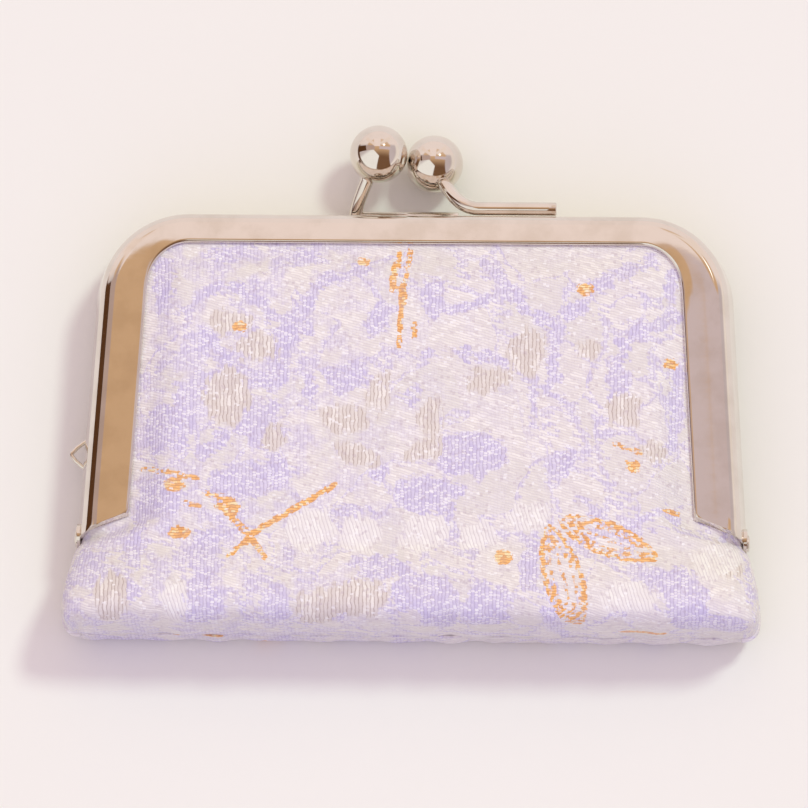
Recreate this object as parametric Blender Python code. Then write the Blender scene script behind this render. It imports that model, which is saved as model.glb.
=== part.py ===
"""Clasp purse: a small brocade coin purse on a kiss-lock frame, closed and lying on its back.

Places are worked out in millimetres in the purse's own directions: u runs across the purse, v runs from the
hinge line toward the clasp, and w runs from the parting plane of the two frame halves toward the front.
"""

import math

import bmesh
import bpy
from mathutils import Matrix, Vector

MM = 0.001

# Metal frame: two pressed channels, hinged at the ends of their legs
FRAME_TOP = 39.0
HINGE_HALF_WIDTH = 39.2
LEG_LEAN_DEG = 3.3
CORNER_RADIUS = 11.0
HALF_DEPTH = 5.5
SHEET = 0.5
PARTING_GAP = 0.3
WEB_FLARE = 0.75
SHOULDER_RADIUS = 1.0
LEG_FACE = 6.1
TOP_FACE = 4.4
INNER_FLANGE = 3.6
LEG_END = -0.4
LEG_END_RISE = 2.0

# Hinge: an ear on each leg end, lapped and riveted
EAR_RADIUS = 1.5
EAR_PROUD = 0.05
EAR_LAP_GAP = 0.35
EAR_CLEARANCE = 0.3
EAR_TAIL_FOOT = -0.2
EAR_OVERLAP = 0.13
BACK_EAR_TAIL = 4.7
FRONT_EAR_TAIL = 2.6
RIVET_RADIUS = 0.5
RIVET_HEAD_RADIUS = 1.0
RIVET_HEAD = 0.3
RIVET_CLEARANCE = 0.15
RIVET_HEAD_GAP = 0.05
# Shares of the head's radius at its rim's foot, inside and outside
RIVET_CHAMFER_IN = 0.8
RIVET_CHAMFER_OUT = 0.6

# Clasp: two balls on bent rods, crossed when the purse is shut
BALL_DIAMETER = 6.7
BALL_GAP = 0.05
CLASP_MIDDLE = -1.13
BACK_BALL_RISE = 7.5
FRONT_BALL_RISE = 6.7
BALL_CROSSING = 1.2
ROD_RADIUS = 0.8
FOOT_SETBACK = 2.5
FOOT_GAP = 0.2
# Each foot's far end, its bend's start and the point that the bend turns about, from the clasp's middle
FRONT_FOOT = (17.73, 8.53, 5.53)
BACK_FOOT = (6.13, -4.27, -6.27)
ROD_IN_BALL = 1.2
ROD_CLEARANCE = 0.15

# Chain eye: a bent wire on the left leg of the back frame
EYE_WIRE_RADIUS = 0.22
EYE_PLACE = 10.5
EYE_HALF_SPAN = 1.6
EYE_REACH = 1.1
EYE_DEPTH = 2.0
EYE_HOLE_CLEARANCE = 0.15
# Where the eye's wire bends: share of its half span from each foot, and share of its reach there
EYE_BEND = (0.3, 0.4)

# Cloth layers that the channels grip
PANEL_EDGE = 1.7
LAYER_GAP = 0.3
COVER = 0.7
LINING = 0.4
INTERLINING = 0.6
PANEL_BOTTOM = -1.7
CROWN_BAND = 5.0
FRONT_CROWN_TOP = 1.1
FRONT_CROWN_BOTTOM = 2.9
BACK_CROWN = 0.6
CORD_RADIUS = 0.8
CORD_EDGE = 2.0
CORD_DEPTH = 2.0

# Lower bag, below the hinge
RIM = -2.0
BASE_CARD = 0.8
BASE_CARD_INSET = 1.9
BACK_EDGE_RADIUS = 3.5
BACK_EDGE_STEPS = 4
FLOOR_EDGE = 1.8
# Rounding of the inner floors: height over the floor, and how far the wall is drawn in
FLOOR_ROUNDING = ((1.0, 0.2), (0.3, 0.8), (0.0, FLOOR_EDGE))
BAG_DROP = 11.3
# Height below the hinge, half-width, front, back, and squareness of the section
BAG_SECTIONS = (
    (RIM, HINGE_HALF_WIDTH + 0.4, HALF_DEPTH + 2.1, -HALF_DEPTH, 4.0),
    (-0.40 * BAG_DROP, HINGE_HALF_WIDTH + 1.1, HALF_DEPTH + 3.1, -HALF_DEPTH, 5.0),
    (-0.62 * BAG_DROP, HINGE_HALF_WIDTH + 1.6, HALF_DEPTH + 3.7, -HALF_DEPTH, 7.0),
    (-0.78 * BAG_DROP, HINGE_HALF_WIDTH + 1.7, HALF_DEPTH + 3.8, -HALF_DEPTH, 9.0),
    (-0.90 * BAG_DROP, HINGE_HALF_WIDTH + 1.5, HALF_DEPTH + 3.2, -HALF_DEPTH + 0.2, 9.0),
    (-0.97 * BAG_DROP, HINGE_HALF_WIDTH + 0.8, HALF_DEPTH + 1.9, -HALF_DEPTH + 0.8, 9.0),
    (-BAG_DROP, HINGE_HALF_WIDTH - 0.4, HALF_DEPTH + 0.3, -HALF_DEPTH + FLOOR_EDGE, 9.0),
)

# Fineness of the round forms
LEG_STEPS = 6
CORNER_STEPS = 8
ARC_STEPS = 24
BALL_SEGMENTS = 28
BALL_RINGS = 16
ROD_BENDS = 10
ROD_SIDES = 10
WIRE_SIDES = 8
SHOULDER_ANGLES = (0, 30, 60, 90)
CROWN_SHARES = (0.0, 0.25, 0.5, 0.75, 1.0)
MIDDLE_SHRINK = 0.85
FINE = 0.001
BAG_COLUMNS = 16

BALL_RADIUS = BALL_DIAMETER / 2
CLASP_REACH = FRAME_TOP + max(BACK_BALL_RISE, FRONT_BALL_RISE) + BALL_RADIUS
HINGE_Y = (BAG_DROP - CLASP_REACH) / 2
MIDDLE_Z = HALF_DEPTH
LEAN = math.radians(LEG_LEAN_DEG)
FRONT_EAR_OUTER = HINGE_HALF_WIDTH + EAR_PROUD
BACK_EAR_OUTER = FRONT_EAR_OUTER - SHEET - EAR_LAP_GAP


def clear_scene():
    for old in list(bpy.data.objects):
        bpy.data.objects.remove(old, do_unlink=True)


def material(name, color, roughness, metallic):
    made = bpy.data.materials.new(name)
    made.use_nodes = True
    shader = made.node_tree.nodes["Principled BSDF"]
    shader.inputs["Base Color"].default_value = (*color, 1.0)
    shader.inputs["Roughness"].default_value = roughness
    shader.inputs["Metallic"].default_value = metallic
    return made


def world(u, v, w):
    """The place of a point of the purse, in metres."""
    return Vector((u, v + HINGE_Y, w + MIDDLE_Z)) * MM


def finish(name, bm, finish_material, parent, smooth_deg=35):
    """Turns a bmesh into a named object whose origin is its parent's, or the world's."""
    bmesh.ops.recalc_face_normals(bm, faces=bm.faces)
    mesh = bpy.data.meshes.new(name)
    bm.to_mesh(mesh)
    bm.free()
    mesh.shade_smooth()
    mesh.set_sharp_from_angle(angle=math.radians(smooth_deg))
    made = bpy.data.objects.new(name, mesh)
    bpy.context.collection.objects.link(made)
    if finish_material:
        mesh.materials.append(finish_material)
    if parent:
        made.parent = parent
        mesh.transform(Matrix.Translation(-parent.location))
    return made


def sweep(rings):
    """A solid through a row of rings with as many points each, closed at both ends."""
    bm = bmesh.new()
    face = bm.faces.new([bm.verts.new(world(*point)) for point in rings[0]])
    for number, ring in enumerate(rings[1:]):
        made = bmesh.ops.extrude_face_region(bm, geom=[face])["geom"]
        if number:
            bmesh.ops.delete(bm, geom=[face], context="FACES_ONLY")
        face = next(item for item in made if isinstance(item, bmesh.types.BMFace))
        for vert, point in zip(face.verts, ring):
            vert.co = world(*point)
    return bm


def modify(target, other, operation):
    """Cuts another object out of the target, or joins it on, and puts it out of sight."""
    cut = target.modifiers.new(other.name, "BOOLEAN")
    cut.operation = operation
    cut.solver = "EXACT"
    cut.object = other
    other.hide_render = True
    other.display_type = "WIRE"


def cylinder_across(name, radius, start_u, end_u, v, w, parent):
    """A cylinder along u, for holes and ears."""
    rings = []
    for u in (start_u, end_u):
        turns = [2 * math.pi * step / ARC_STEPS for step in range(ARC_STEPS)]
        rings.append([(u, v + radius * math.cos(a), w + radius * math.sin(a)) for a in turns])
    return finish(name, sweep(rings), None, parent)


def corner_middle():
    """Where the right corner's arc has its centre."""
    v = FRAME_TOP - CORNER_RADIUS
    along = (v + CORNER_RADIUS * math.sin(LEAN)) / math.cos(LEAN)
    return HINGE_HALF_WIDTH - along * math.sin(LEAN) - CORNER_RADIUS * math.cos(LEAN), v


def leg_u(v, edge=0.0):
    """Half-width of the frame's outline on its leg, moved inward by edge."""
    return HINGE_HALF_WIDTH - v * math.tan(LEAN) - edge / math.cos(LEAN)


def outline(bottom):
    """Places along the frame's outer line, left leg to right leg, with the outward direction at each."""
    middle_u, middle_v = corner_middle()
    start_v = middle_v + CORNER_RADIUS * math.sin(LEAN)
    right = []
    for step in range(LEG_STEPS):
        v = bottom + (start_v - bottom) * step / LEG_STEPS
        right.append(((leg_u(v), v), (math.cos(LEAN), math.sin(LEAN))))
    for step in range(CORNER_STEPS + 1):
        angle = LEAN + (math.pi / 2 - LEAN) * step / CORNER_STEPS
        out = (math.cos(angle), math.sin(angle))
        right.append(((middle_u + CORNER_RADIUS * out[0], middle_v + CORNER_RADIUS * out[1]), out))
    left = [((-place[0], place[1]), (-out[0], out[1])) for place, out in right]
    return left + right[::-1]


def face_width(out):
    """Width of the frame's face: narrow on the top bar, wide on the legs."""
    share = (math.sin(math.atan2(out[1], abs(out[0]))) - math.sin(LEAN)) / (1 - math.sin(LEAN))
    return LEG_FACE + (TOP_FACE - LEG_FACE) * share


def channel_profile(face):
    """Section of one frame half, as inset from the outer line and height over the parting plane."""
    parting = PARTING_GAP / 2
    shoulder = HALF_DEPTH - SHOULDER_RADIUS
    profile = [(0.0, parting)]
    for degrees in SHOULDER_ANGLES:
        a = math.radians(degrees)
        inset = WEB_FLARE + SHOULDER_RADIUS * (1 - math.cos(a))
        profile.append((inset, shoulder + SHOULDER_RADIUS * math.sin(a)))
    profile += [
        (face, HALF_DEPTH),
        (face, HALF_DEPTH - SHEET),
        (WEB_FLARE + SHOULDER_RADIUS, HALF_DEPTH - SHEET),
        (WEB_FLARE + SHEET, shoulder),
        (SHEET, parting + SHEET),
        (INNER_FLANGE, parting + SHEET),
        (INNER_FLANGE, parting),
    ]
    return profile


def web_inset(depth):
    """Inset of the outer wall's outside at a height over the parting plane."""
    run = HALF_DEPTH - SHOULDER_RADIUS - PARTING_GAP / 2
    return WEB_FLARE * (depth - PARTING_GAP / 2) / run


def leg_end_rise(inset, face):
    """How much higher than its outer edge the slanting leg end lies at an inset."""
    return LEG_END_RISE * max(0.0, inset - WEB_FLARE) / (face - WEB_FLARE)


def frame_half(name, side, finish_material, parent):
    """A pressed channel along the outline; side is 1 for the front half and -1 for the back half."""
    stations = outline(LEG_END)
    rings = []
    for index, (place, out) in enumerate(stations):
        face = face_width(out)
        at_end = index in (0, len(stations) - 1)
        ring = []
        for inset, depth in channel_profile(face):
            rise = leg_end_rise(inset, face) if at_end else 0.0
            ring.append((
                place[0] - out[0] * inset - math.copysign(rise * math.tan(LEAN), place[0]),
                place[1] - out[1] * inset * (0.0 if at_end else 1.0) + rise,
                side * depth,
            ))
        rings.append(ring)
    return finish(name, sweep(rings), finish_material, parent)


def ear_plate(name, hand, side, outer, tail, parent):
    """An ear: a plate that runs down one half's leg and is rounded over the hinge line."""
    last = math.pi + math.acos(-EAR_TAIL_FOOT / EAR_RADIUS)
    edge = [(EAR_RADIUS, side * tail)]
    for step in range(ARC_STEPS + 1):
        a = last * step / ARC_STEPS
        edge.append((EAR_RADIUS * math.cos(a), -side * EAR_RADIUS * math.sin(a)))
    edge.append((EAR_TAIL_FOOT, side * tail))
    rings = [[(hand * u, v, w) for v, w in edge] for u in (outer - SHEET, outer)]
    return finish(name, sweep(rings), None, parent)


def add_ears(back, front, front_parent):
    """Rounds the leg ends over the hinge line, so that the back's ear lies inside the front's."""
    swing = EAR_RADIUS + EAR_CLEARANCE
    hole = RIVET_RADIUS + RIVET_CLEARANCE
    for side_name, hand in (("left", -1), ("right", 1)):
        far = hand * (FRONT_EAR_OUTER + 1)
        near = hand * (BACK_EAR_OUTER - INNER_FLANGE - 1)
        within = hand * (FRONT_EAR_OUTER - SHEET + EAR_OVERLAP)
        modify(back, cylinder_across(f"swing_back_{side_name}", swing, near, far, 0, 0, None), "DIFFERENCE")
        ear = ear_plate(f"ear_back_{side_name}", hand, -1, BACK_EAR_OUTER, BACK_EAR_TAIL, None)
        modify(back, ear, "UNION")
        modify(back, cylinder_across(f"bore_back_{side_name}", hole, near, far, 0, 0, None), "DIFFERENCE")
        cut = cylinder_across(f"swing_front_{side_name}", swing, near, within, 0, 0, front_parent)
        modify(front, cut, "DIFFERENCE")
        ear = ear_plate(f"ear_front_{side_name}", hand, 1, FRONT_EAR_OUTER, FRONT_EAR_TAIL, front_parent)
        modify(front, ear, "UNION")
        cut = cylinder_across(f"bore_front_{side_name}", hole, near, far, 0, 0, front_parent)
        modify(front, cut, "DIFFERENCE")


def rivet(name, hand, finish_material):
    """A rivet through both ears, with a head on each side."""
    outside = FRONT_EAR_OUTER + RIVET_HEAD_GAP
    inside = BACK_EAR_OUTER - SHEET - RIVET_HEAD_GAP
    steps = (
        (inside - RIVET_HEAD, RIVET_HEAD_RADIUS * RIVET_CHAMFER_IN),
        (inside - RIVET_HEAD / 2, RIVET_HEAD_RADIUS),
        (inside, RIVET_HEAD_RADIUS),
        (inside, RIVET_RADIUS),
        (outside, RIVET_RADIUS),
        (outside, RIVET_HEAD_RADIUS),
        (outside + RIVET_HEAD / 2, RIVET_HEAD_RADIUS),
        (outside + RIVET_HEAD, RIVET_HEAD_RADIUS * RIVET_CHAMFER_OUT),
    )
    turns = [2 * math.pi * step / ARC_STEPS for step in range(ARC_STEPS)]
    rings = [[(hand * u, r * math.cos(a), r * math.sin(a)) for a in turns] for u, r in steps]
    return finish(name, sweep(rings), finish_material, None)


def tube(path, radius, sides):
    """A round bar along a path of points."""
    points = [Vector(point) for point in path]
    side = None
    rings = []
    for index, point in enumerate(points):
        ahead = points[min(index + 1, len(points) - 1)]
        behind = points[max(index - 1, 0)]
        along = (ahead - behind).normalized()
        if side is None:
            side = along.orthogonal().normalized()
        side = (side - along * side.dot(along)).normalized()
        up = along.cross(side)
        turns = [2 * math.pi * step / sides for step in range(sides)]
        rings.append([tuple(point + (side * math.cos(a) + up * math.sin(a)) * radius) for a in turns])
    return sweep(rings)


def rod_path(foot, depth, ball):
    """A clasp rod: a foot along the top bar, then a bend up into its ball."""
    seat = FRAME_TOP - web_inset(abs(depth)) + FOOT_GAP + ROD_RADIUS
    far, near, beyond = (CLASP_MIDDLE + place for place in foot)
    start = Vector((near, seat, depth))
    pull = Vector((beyond, seat, depth))
    middle = Vector(ball)
    path = [(far, seat, depth), ((far + near) / 2, seat, depth)]
    for step in range(ROD_BENDS + 1):
        t = step / ROD_BENDS
        point = start * (1 - t) ** 2 + pull * (2 * t * (1 - t)) + middle * t * t
        if (point - middle).length > BALL_RADIUS - ROD_IN_BALL / 2:
            path.append(tuple(point))
    inward = (middle - pull).normalized()
    path.append(tuple(middle - inward * (BALL_RADIUS - ROD_IN_BALL)))
    return path, inward


def clasp_ball(name, middle, inward, finish_material, parent):
    """A ball with a blind hole that takes its rod's end."""
    bm = bmesh.new()
    bmesh.ops.create_uvsphere(bm, u_segments=BALL_SEGMENTS, v_segments=BALL_RINGS, radius=BALL_RADIUS * MM)
    bmesh.ops.translate(bm, verts=bm.verts, vec=world(*middle))
    ball = finish(name, bm, finish_material, parent)
    deep = Vector(middle) - inward * (BALL_RADIUS - ROD_IN_BALL - ROD_CLEARANCE)
    out = Vector(middle) - inward * (BALL_RADIUS + ROD_IN_BALL)
    bore = finish(f"{name}_bore", tube([out, deep], ROD_RADIUS + ROD_CLEARANCE, ARC_STEPS), None, parent)
    modify(ball, bore, "DIFFERENCE")


def clasp(prefix, foot, depth, ball, finish_material, parent):
    """One half of the kiss lock: rod and ball."""
    path, inward = rod_path(foot, depth, ball)
    finish(f"{prefix}_clasp_rod", tube(path, ROD_RADIUS, ROD_SIDES), finish_material, parent)
    clasp_ball(f"{prefix}_clasp_ball", ball, inward, finish_material, parent)


def chain_eye(frame, finish_material):
    """A bent wire whose feet sit in two holes of the back frame's left leg."""
    outer = web_inset(EYE_DEPTH)
    foot = outer + SHEET / 2
    neck = outer - EYE_WIRE_RADIUS
    low = EYE_PLACE - EYE_HALF_SPAN
    high = EYE_PLACE + EYE_HALF_SPAN
    radius = EYE_WIRE_RADIUS + EYE_HOLE_CLEARANCE
    reach = 2 * SHEET
    for number, v in enumerate((low, high)):
        near = -(leg_u(v) - outer - reach)
        far = -(leg_u(v) - outer + reach)
        hole = cylinder_across(f"eye_hole_{number}", radius, near, far, v, -EYE_DEPTH, None)
        modify(frame, hole, "DIFFERENCE")
    bend = EYE_HALF_SPAN * EYE_BEND[0]
    bend_inset = outer - EYE_REACH * EYE_BEND[1]
    path = []
    for v, inset in (
        (high, foot),
        (high, neck),
        (high - bend, bend_inset),
        (EYE_PLACE + EYE_WIRE_RADIUS, outer - EYE_REACH),
        (EYE_PLACE - EYE_WIRE_RADIUS, outer - EYE_REACH),
        (low + bend, bend_inset),
        (low, neck),
        (low, foot),
    ):
        path.append((-(leg_u(v) - inset), v, -EYE_DEPTH))
    finish("chain_eye", tube(path, EYE_WIRE_RADIUS, WIRE_SIDES), finish_material, None)


def smooth_step(x):
    x = min(1.0, max(0.0, x))
    return x * x * (3 - 2 * x)


def band_inset(u, v):
    """How far inside the metal face's inner edge a place of the cloth lies, with a layer's gap to spare."""
    middle_u, middle_v = corner_middle()
    covered = LAYER_GAP - PANEL_EDGE
    if abs(u) > middle_u and v > middle_v:
        out = (abs(u) - middle_u, v - middle_v)
        return CORNER_RADIUS - PANEL_EDGE - math.hypot(*out) - face_width(out) - covered
    from_leg = (leg_u(v, PANEL_EDGE) - abs(u)) * math.cos(LEAN) - LEG_FACE - covered
    from_top = FRAME_TOP - PANEL_EDGE - v - TOP_FACE - covered
    return min(from_leg, from_top)


def crown(u, v, side):
    """How far the cloth swells out of the frame at a place, and how fully."""
    share = min(1.0, max(0.0, (FRAME_TOP - PANEL_EDGE - v) / (FRAME_TOP - PANEL_EDGE - PANEL_BOTTOM)))
    rise = FRONT_CROWN_TOP + (FRONT_CROWN_BOTTOM - FRONT_CROWN_TOP) * share if side > 0 else BACK_CROWN
    return rise, smooth_step(band_inset(u, v) / CROWN_BAND)


def panel_rows():
    """Heights of a panel's rows, with its half-width at each."""
    middle_u, middle_v = corner_middle()
    radius = CORNER_RADIUS - PANEL_EDGE
    start_v = middle_v + radius * math.sin(LEAN)
    rows = []
    for step in range(LEG_STEPS):
        v = PANEL_BOTTOM + (start_v - PANEL_BOTTOM) * step / LEG_STEPS
        rows.append((v, leg_u(v, PANEL_EDGE)))
    for step in range(CORNER_STEPS + 1):
        angle = LEAN + (math.pi / 2 - LEAN) * step / CORNER_STEPS
        rows.append((middle_v + radius * math.sin(angle), middle_u + radius * math.cos(angle)))
    return rows


def columns(v, half):
    """Places across a row: its end, where the cloth starts to swell, the rise itself, and the middle."""
    right = [half]
    for share in CROWN_SHARES:
        low, high = 0.0, right[-1]
        if band_inset(low, v) <= share * CROWN_BAND:
            right.append(high * MIDDLE_SHRINK)
            continue
        while high - low > FINE:
            middle = (low + high) / 2
            low, high = (middle, high) if band_inset(middle, v) > share * CROWN_BAND else (low, middle)
        right.append(low)
    right.append(right[-1] / 2)
    return [-u for u in right] + [0.0] + right[::-1]


def layer(name, side, outside, thickness, shift, rows, finish_material, parent):
    """One cloth layer of a panel: its outer face lies at outside in the channel and swells by the crown."""
    rings = []
    for v, places in rows:
        outer = []
        for u in places:
            rise, full = crown(u, v, side)
            outer.append((u, v, outside + full * (rise + shift)))
        inner = [(u, v, w - thickness) for u, v, w in reversed(outer)]
        rings.append([(u, v, side * w) for u, v, w in outer + inner])
    return finish(name, sweep(rings), finish_material, parent)


def interlining_rows():
    """The pad's rows: the panel's, drawn in by the band in which the cloth turns under the face."""
    leg_inset = LEG_FACE - PANEL_EDGE + LAYER_GAP + CROWN_BAND
    top_inset = TOP_FACE - PANEL_EDGE + LAYER_GAP + CROWN_BAND
    top = FRAME_TOP - PANEL_EDGE - top_inset
    rows = []
    for step in range(LEG_STEPS + 1):
        v = PANEL_BOTTOM + (top - PANEL_BOTTOM) * step / LEG_STEPS
        half = leg_u(v, PANEL_EDGE) - leg_inset
        rows.append((v, [-half, 0.0, half]))
    return rows


def cloth_stack(prefix, side, cover_material, pad_material, lining_material, parent):
    """Cover, interlining and lining of one panel, from the outside in."""
    rows = [(v, columns(v, half)) for v, half in panel_rows()]
    cover_outside = HALF_DEPTH - SHEET - LAYER_GAP
    inside = cover_outside - COVER - LAYER_GAP
    drawn_in = INTERLINING + LAYER_GAP
    pad_rows = interlining_rows()
    layer(f"{prefix}_cover", side, cover_outside, COVER, 0.0, rows, cover_material, parent)
    layer(f"{prefix}_interlining", side, inside, INTERLINING, 0.0, pad_rows, pad_material, parent)
    layer(f"{prefix}_lining", side, inside, LINING, -drawn_in, rows, lining_material, parent)


def paper_cord(prefix, side, finish_material, parent):
    """The twisted paper cord that wedges the cloth in a channel."""
    bottom = EAR_RADIUS + 2 * EAR_CLEARANCE
    path = []
    for place, out in outline(bottom):
        path.append((place[0] - out[0] * CORD_EDGE, place[1] - out[1] * CORD_EDGE, side * CORD_DEPTH))
    finish(f"{prefix}_paper_cord", tube(path, CORD_RADIUS, WIRE_SIDES), finish_material, parent)


def section_at(v):
    """The lower bag's section at a height between the given ones."""
    for upper, lower in zip(BAG_SECTIONS, BAG_SECTIONS[1:]):
        if lower[0] <= v <= upper[0]:
            share = (upper[0] - v) / (upper[0] - lower[0])
            return tuple(a + (b - a) * share for a, b in zip(upper, lower))
    return BAG_SECTIONS[0] if v > RIM else BAG_SECTIONS[-1]


def bag_ring(section, inset):
    """A ring of the lower bag: rounded front, flat back with round edges, moved in by inset."""
    v, half, front, back, square = section
    half -= inset
    front -= inset
    back += inset
    ring = []
    for step in range(BAG_COLUMNS + 1):
        a = math.pi - math.pi * step / BAG_COLUMNS
        u = half * math.copysign(abs(math.cos(a)) ** (2 / square), math.cos(a))
        ring.append((u, v, front * math.sin(a) ** (2 / square)))
    edge = max(LINING, BACK_EDGE_RADIUS - inset)
    corner = []
    for step in range(BACK_EDGE_STEPS + 1):
        a = math.pi / 2 * step / BACK_EDGE_STEPS
        corner.append((half - edge + edge * math.cos(a), v, back + edge - edge * math.sin(a)))
    ring += corner
    ring += [(-u, place, w) for u, place, w in reversed(corner)]
    return ring


def inner_rings(inset, floor):
    """Rings of a surface inside the bag, from the rim down to a rounded floor."""
    start = floor + FLOOR_ROUNDING[0][0]
    rings = [bag_ring(section, inset) for section in BAG_SECTIONS if section[0] > start]
    for above, drawn in FLOOR_ROUNDING:
        rings.append(bag_ring(section_at(floor + above), inset + drawn))
    return rings


def base_card(finish_material):
    """The stiff card on the bag's floor."""
    low = COVER + LAYER_GAP - BAG_DROP
    rings = [bag_ring((v, *BAG_SECTIONS[-1][1:]), BASE_CARD_INSET) for v in (low, low + BASE_CARD)]
    finish("base_card", sweep(rings), finish_material, None)


def lower_bag(cover_material, card_material, lining_material):
    """The part of the bag below the hinge, which bends when the frame opens."""
    outer = [bag_ring(section, 0.0) for section in BAG_SECTIONS]
    inner = inner_rings(COVER, COVER - BAG_DROP)
    finish("lower_cover", sweep(inner[::-1] + outer), cover_material, None)
    base_card(card_material)
    inset = COVER + LAYER_GAP
    floor = COVER + LAYER_GAP + BASE_CARD + LAYER_GAP - BAG_DROP
    outer = inner_rings(inset, floor)
    inner = inner_rings(inset + LINING, floor + LINING)
    finish("lower_lining", sweep(inner[::-1] + outer), lining_material, None)


def build():
    clear_scene()
    nickel = material("nickel", (0.76, 0.70, 0.64), 0.12, 1.0)
    brocade = material("brocade", (0.74, 0.69, 0.84), 0.55, 0.0)
    satin = material("lining_satin", (0.86, 0.84, 0.88), 0.45, 0.0)
    felt = material("interlining_felt", (0.88, 0.87, 0.84), 0.95, 0.0)
    paper = material("paper", (0.62, 0.50, 0.36), 0.9, 0.0)

    hinge = bpy.data.objects.new("hinge_axis", None)
    bpy.context.collection.objects.link(hinge)
    hinge.location = world(0, 0, 0)
    bpy.context.view_layer.update()

    back = frame_half("back_frame", -1, nickel, None)
    front = frame_half("front_frame", 1, nickel, hinge)
    add_ears(back, front, hinge)
    rivet("rivet_left", -1, nickel)
    rivet("rivet_right", 1, nickel)
    chain_eye(back, nickel)

    apart = BALL_DIAMETER + BALL_GAP
    back_ball = (CLASP_MIDDLE - apart / 2, FRAME_TOP + BACK_BALL_RISE, BALL_CROSSING)
    front_ball = (CLASP_MIDDLE + apart / 2, FRAME_TOP + FRONT_BALL_RISE, -BALL_CROSSING)
    clasp("back", BACK_FOOT, -FOOT_SETBACK, back_ball, nickel, None)
    clasp("front", FRONT_FOOT, FOOT_SETBACK, front_ball, nickel, hinge)

    cloth_stack("back", -1, brocade, felt, satin, None)
    cloth_stack("front", 1, brocade, felt, satin, hinge)
    paper_cord("back", -1, paper, None)
    paper_cord("front", 1, paper, hinge)
    lower_bag(brocade, paper, satin)


build()
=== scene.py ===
# %% [markdown]
# # A clasp purse, lying shut on its back
#
# This lesson dresses the solid parts of a small purse: a brocade bag held by two pressed metal channels,
# which are hinged at the ends of their legs and shut by two balls that snap past each other. The solid
# parts come first, as a fixed frame. Every new piece goes exactly where its solid part is.

import math

import bmesh
import bpy
import numpy as np
from mathutils import Matrix, Vector, noise


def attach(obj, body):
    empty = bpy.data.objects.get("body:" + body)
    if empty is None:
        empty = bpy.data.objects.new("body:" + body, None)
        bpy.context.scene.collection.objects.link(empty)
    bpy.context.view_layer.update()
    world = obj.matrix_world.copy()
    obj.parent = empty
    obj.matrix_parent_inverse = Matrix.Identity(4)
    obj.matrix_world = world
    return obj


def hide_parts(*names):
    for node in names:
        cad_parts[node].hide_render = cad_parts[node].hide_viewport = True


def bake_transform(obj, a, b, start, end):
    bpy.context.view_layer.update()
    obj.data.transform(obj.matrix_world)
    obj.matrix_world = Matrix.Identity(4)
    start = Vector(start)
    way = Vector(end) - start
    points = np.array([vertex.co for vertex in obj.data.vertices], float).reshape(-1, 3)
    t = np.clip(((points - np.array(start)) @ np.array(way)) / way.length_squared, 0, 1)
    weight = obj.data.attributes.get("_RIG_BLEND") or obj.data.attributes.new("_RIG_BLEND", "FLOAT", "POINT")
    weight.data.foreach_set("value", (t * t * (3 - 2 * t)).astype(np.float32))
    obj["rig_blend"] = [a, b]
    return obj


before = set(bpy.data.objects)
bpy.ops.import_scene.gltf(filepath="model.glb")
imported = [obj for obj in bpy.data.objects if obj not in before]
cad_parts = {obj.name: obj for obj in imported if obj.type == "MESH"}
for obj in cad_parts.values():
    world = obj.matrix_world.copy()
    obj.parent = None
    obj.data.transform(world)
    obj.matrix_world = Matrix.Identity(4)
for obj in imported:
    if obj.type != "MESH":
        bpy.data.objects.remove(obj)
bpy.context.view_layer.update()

# %% [markdown]
# ## Directions and units
#
# A purse maker thinks in millimetres from the hinge: u across the purse, v from the hinge towards the
# clasp, and w from the parting plane of the two frame halves towards the front. One helper turns such a
# place into metres, so all sizes below read like those on a drawing.

# %% Millimetres from the hinge
MM = 0.001
HINGE_Y = -19.275
MIDDLE_Z = 5.5


def place(u, v, w):
    """A place of the purse in metres."""
    return Vector((u, v + HINGE_Y, w + MIDDLE_Z)) * MM


print("hinge line at", place(0, 0, 0))

# %% [markdown]
# ## A finished piece
#
# Each piece is shaped as a bmesh, which holds loose corners, edges and faces, and then becomes an object.
# The helper gives it its finish and smooth shading with crisp edges kept, and hides the solid nodes that
# it stands for.

# %% From a bmesh to a piece of the purse


def make_piece(name, bm, finish, stands_for=(), crisp_deg=40):
    """A named object from a bmesh, with its material and the solid nodes it replaces."""
    mesh = bpy.data.meshes.new(name)
    bm.to_mesh(mesh)
    bm.free()
    mesh.shade_smooth()
    mesh.set_sharp_from_angle(angle=math.radians(crisp_deg))
    piece = bpy.data.objects.new(name, mesh)
    bpy.context.scene.collection.objects.link(piece)
    mesh.materials.append(finish)
    if stands_for:
        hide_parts(*stands_for)
    return piece


# %% [markdown]
# ## Shared effects
#
# Brocade and metal both need effects that repeat: yarns side by side, and the fine scratches that
# polishing leaves. Each is a node group with named inputs, so that a material can place it with its own
# values.

# %% A small kit for node groups


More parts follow.
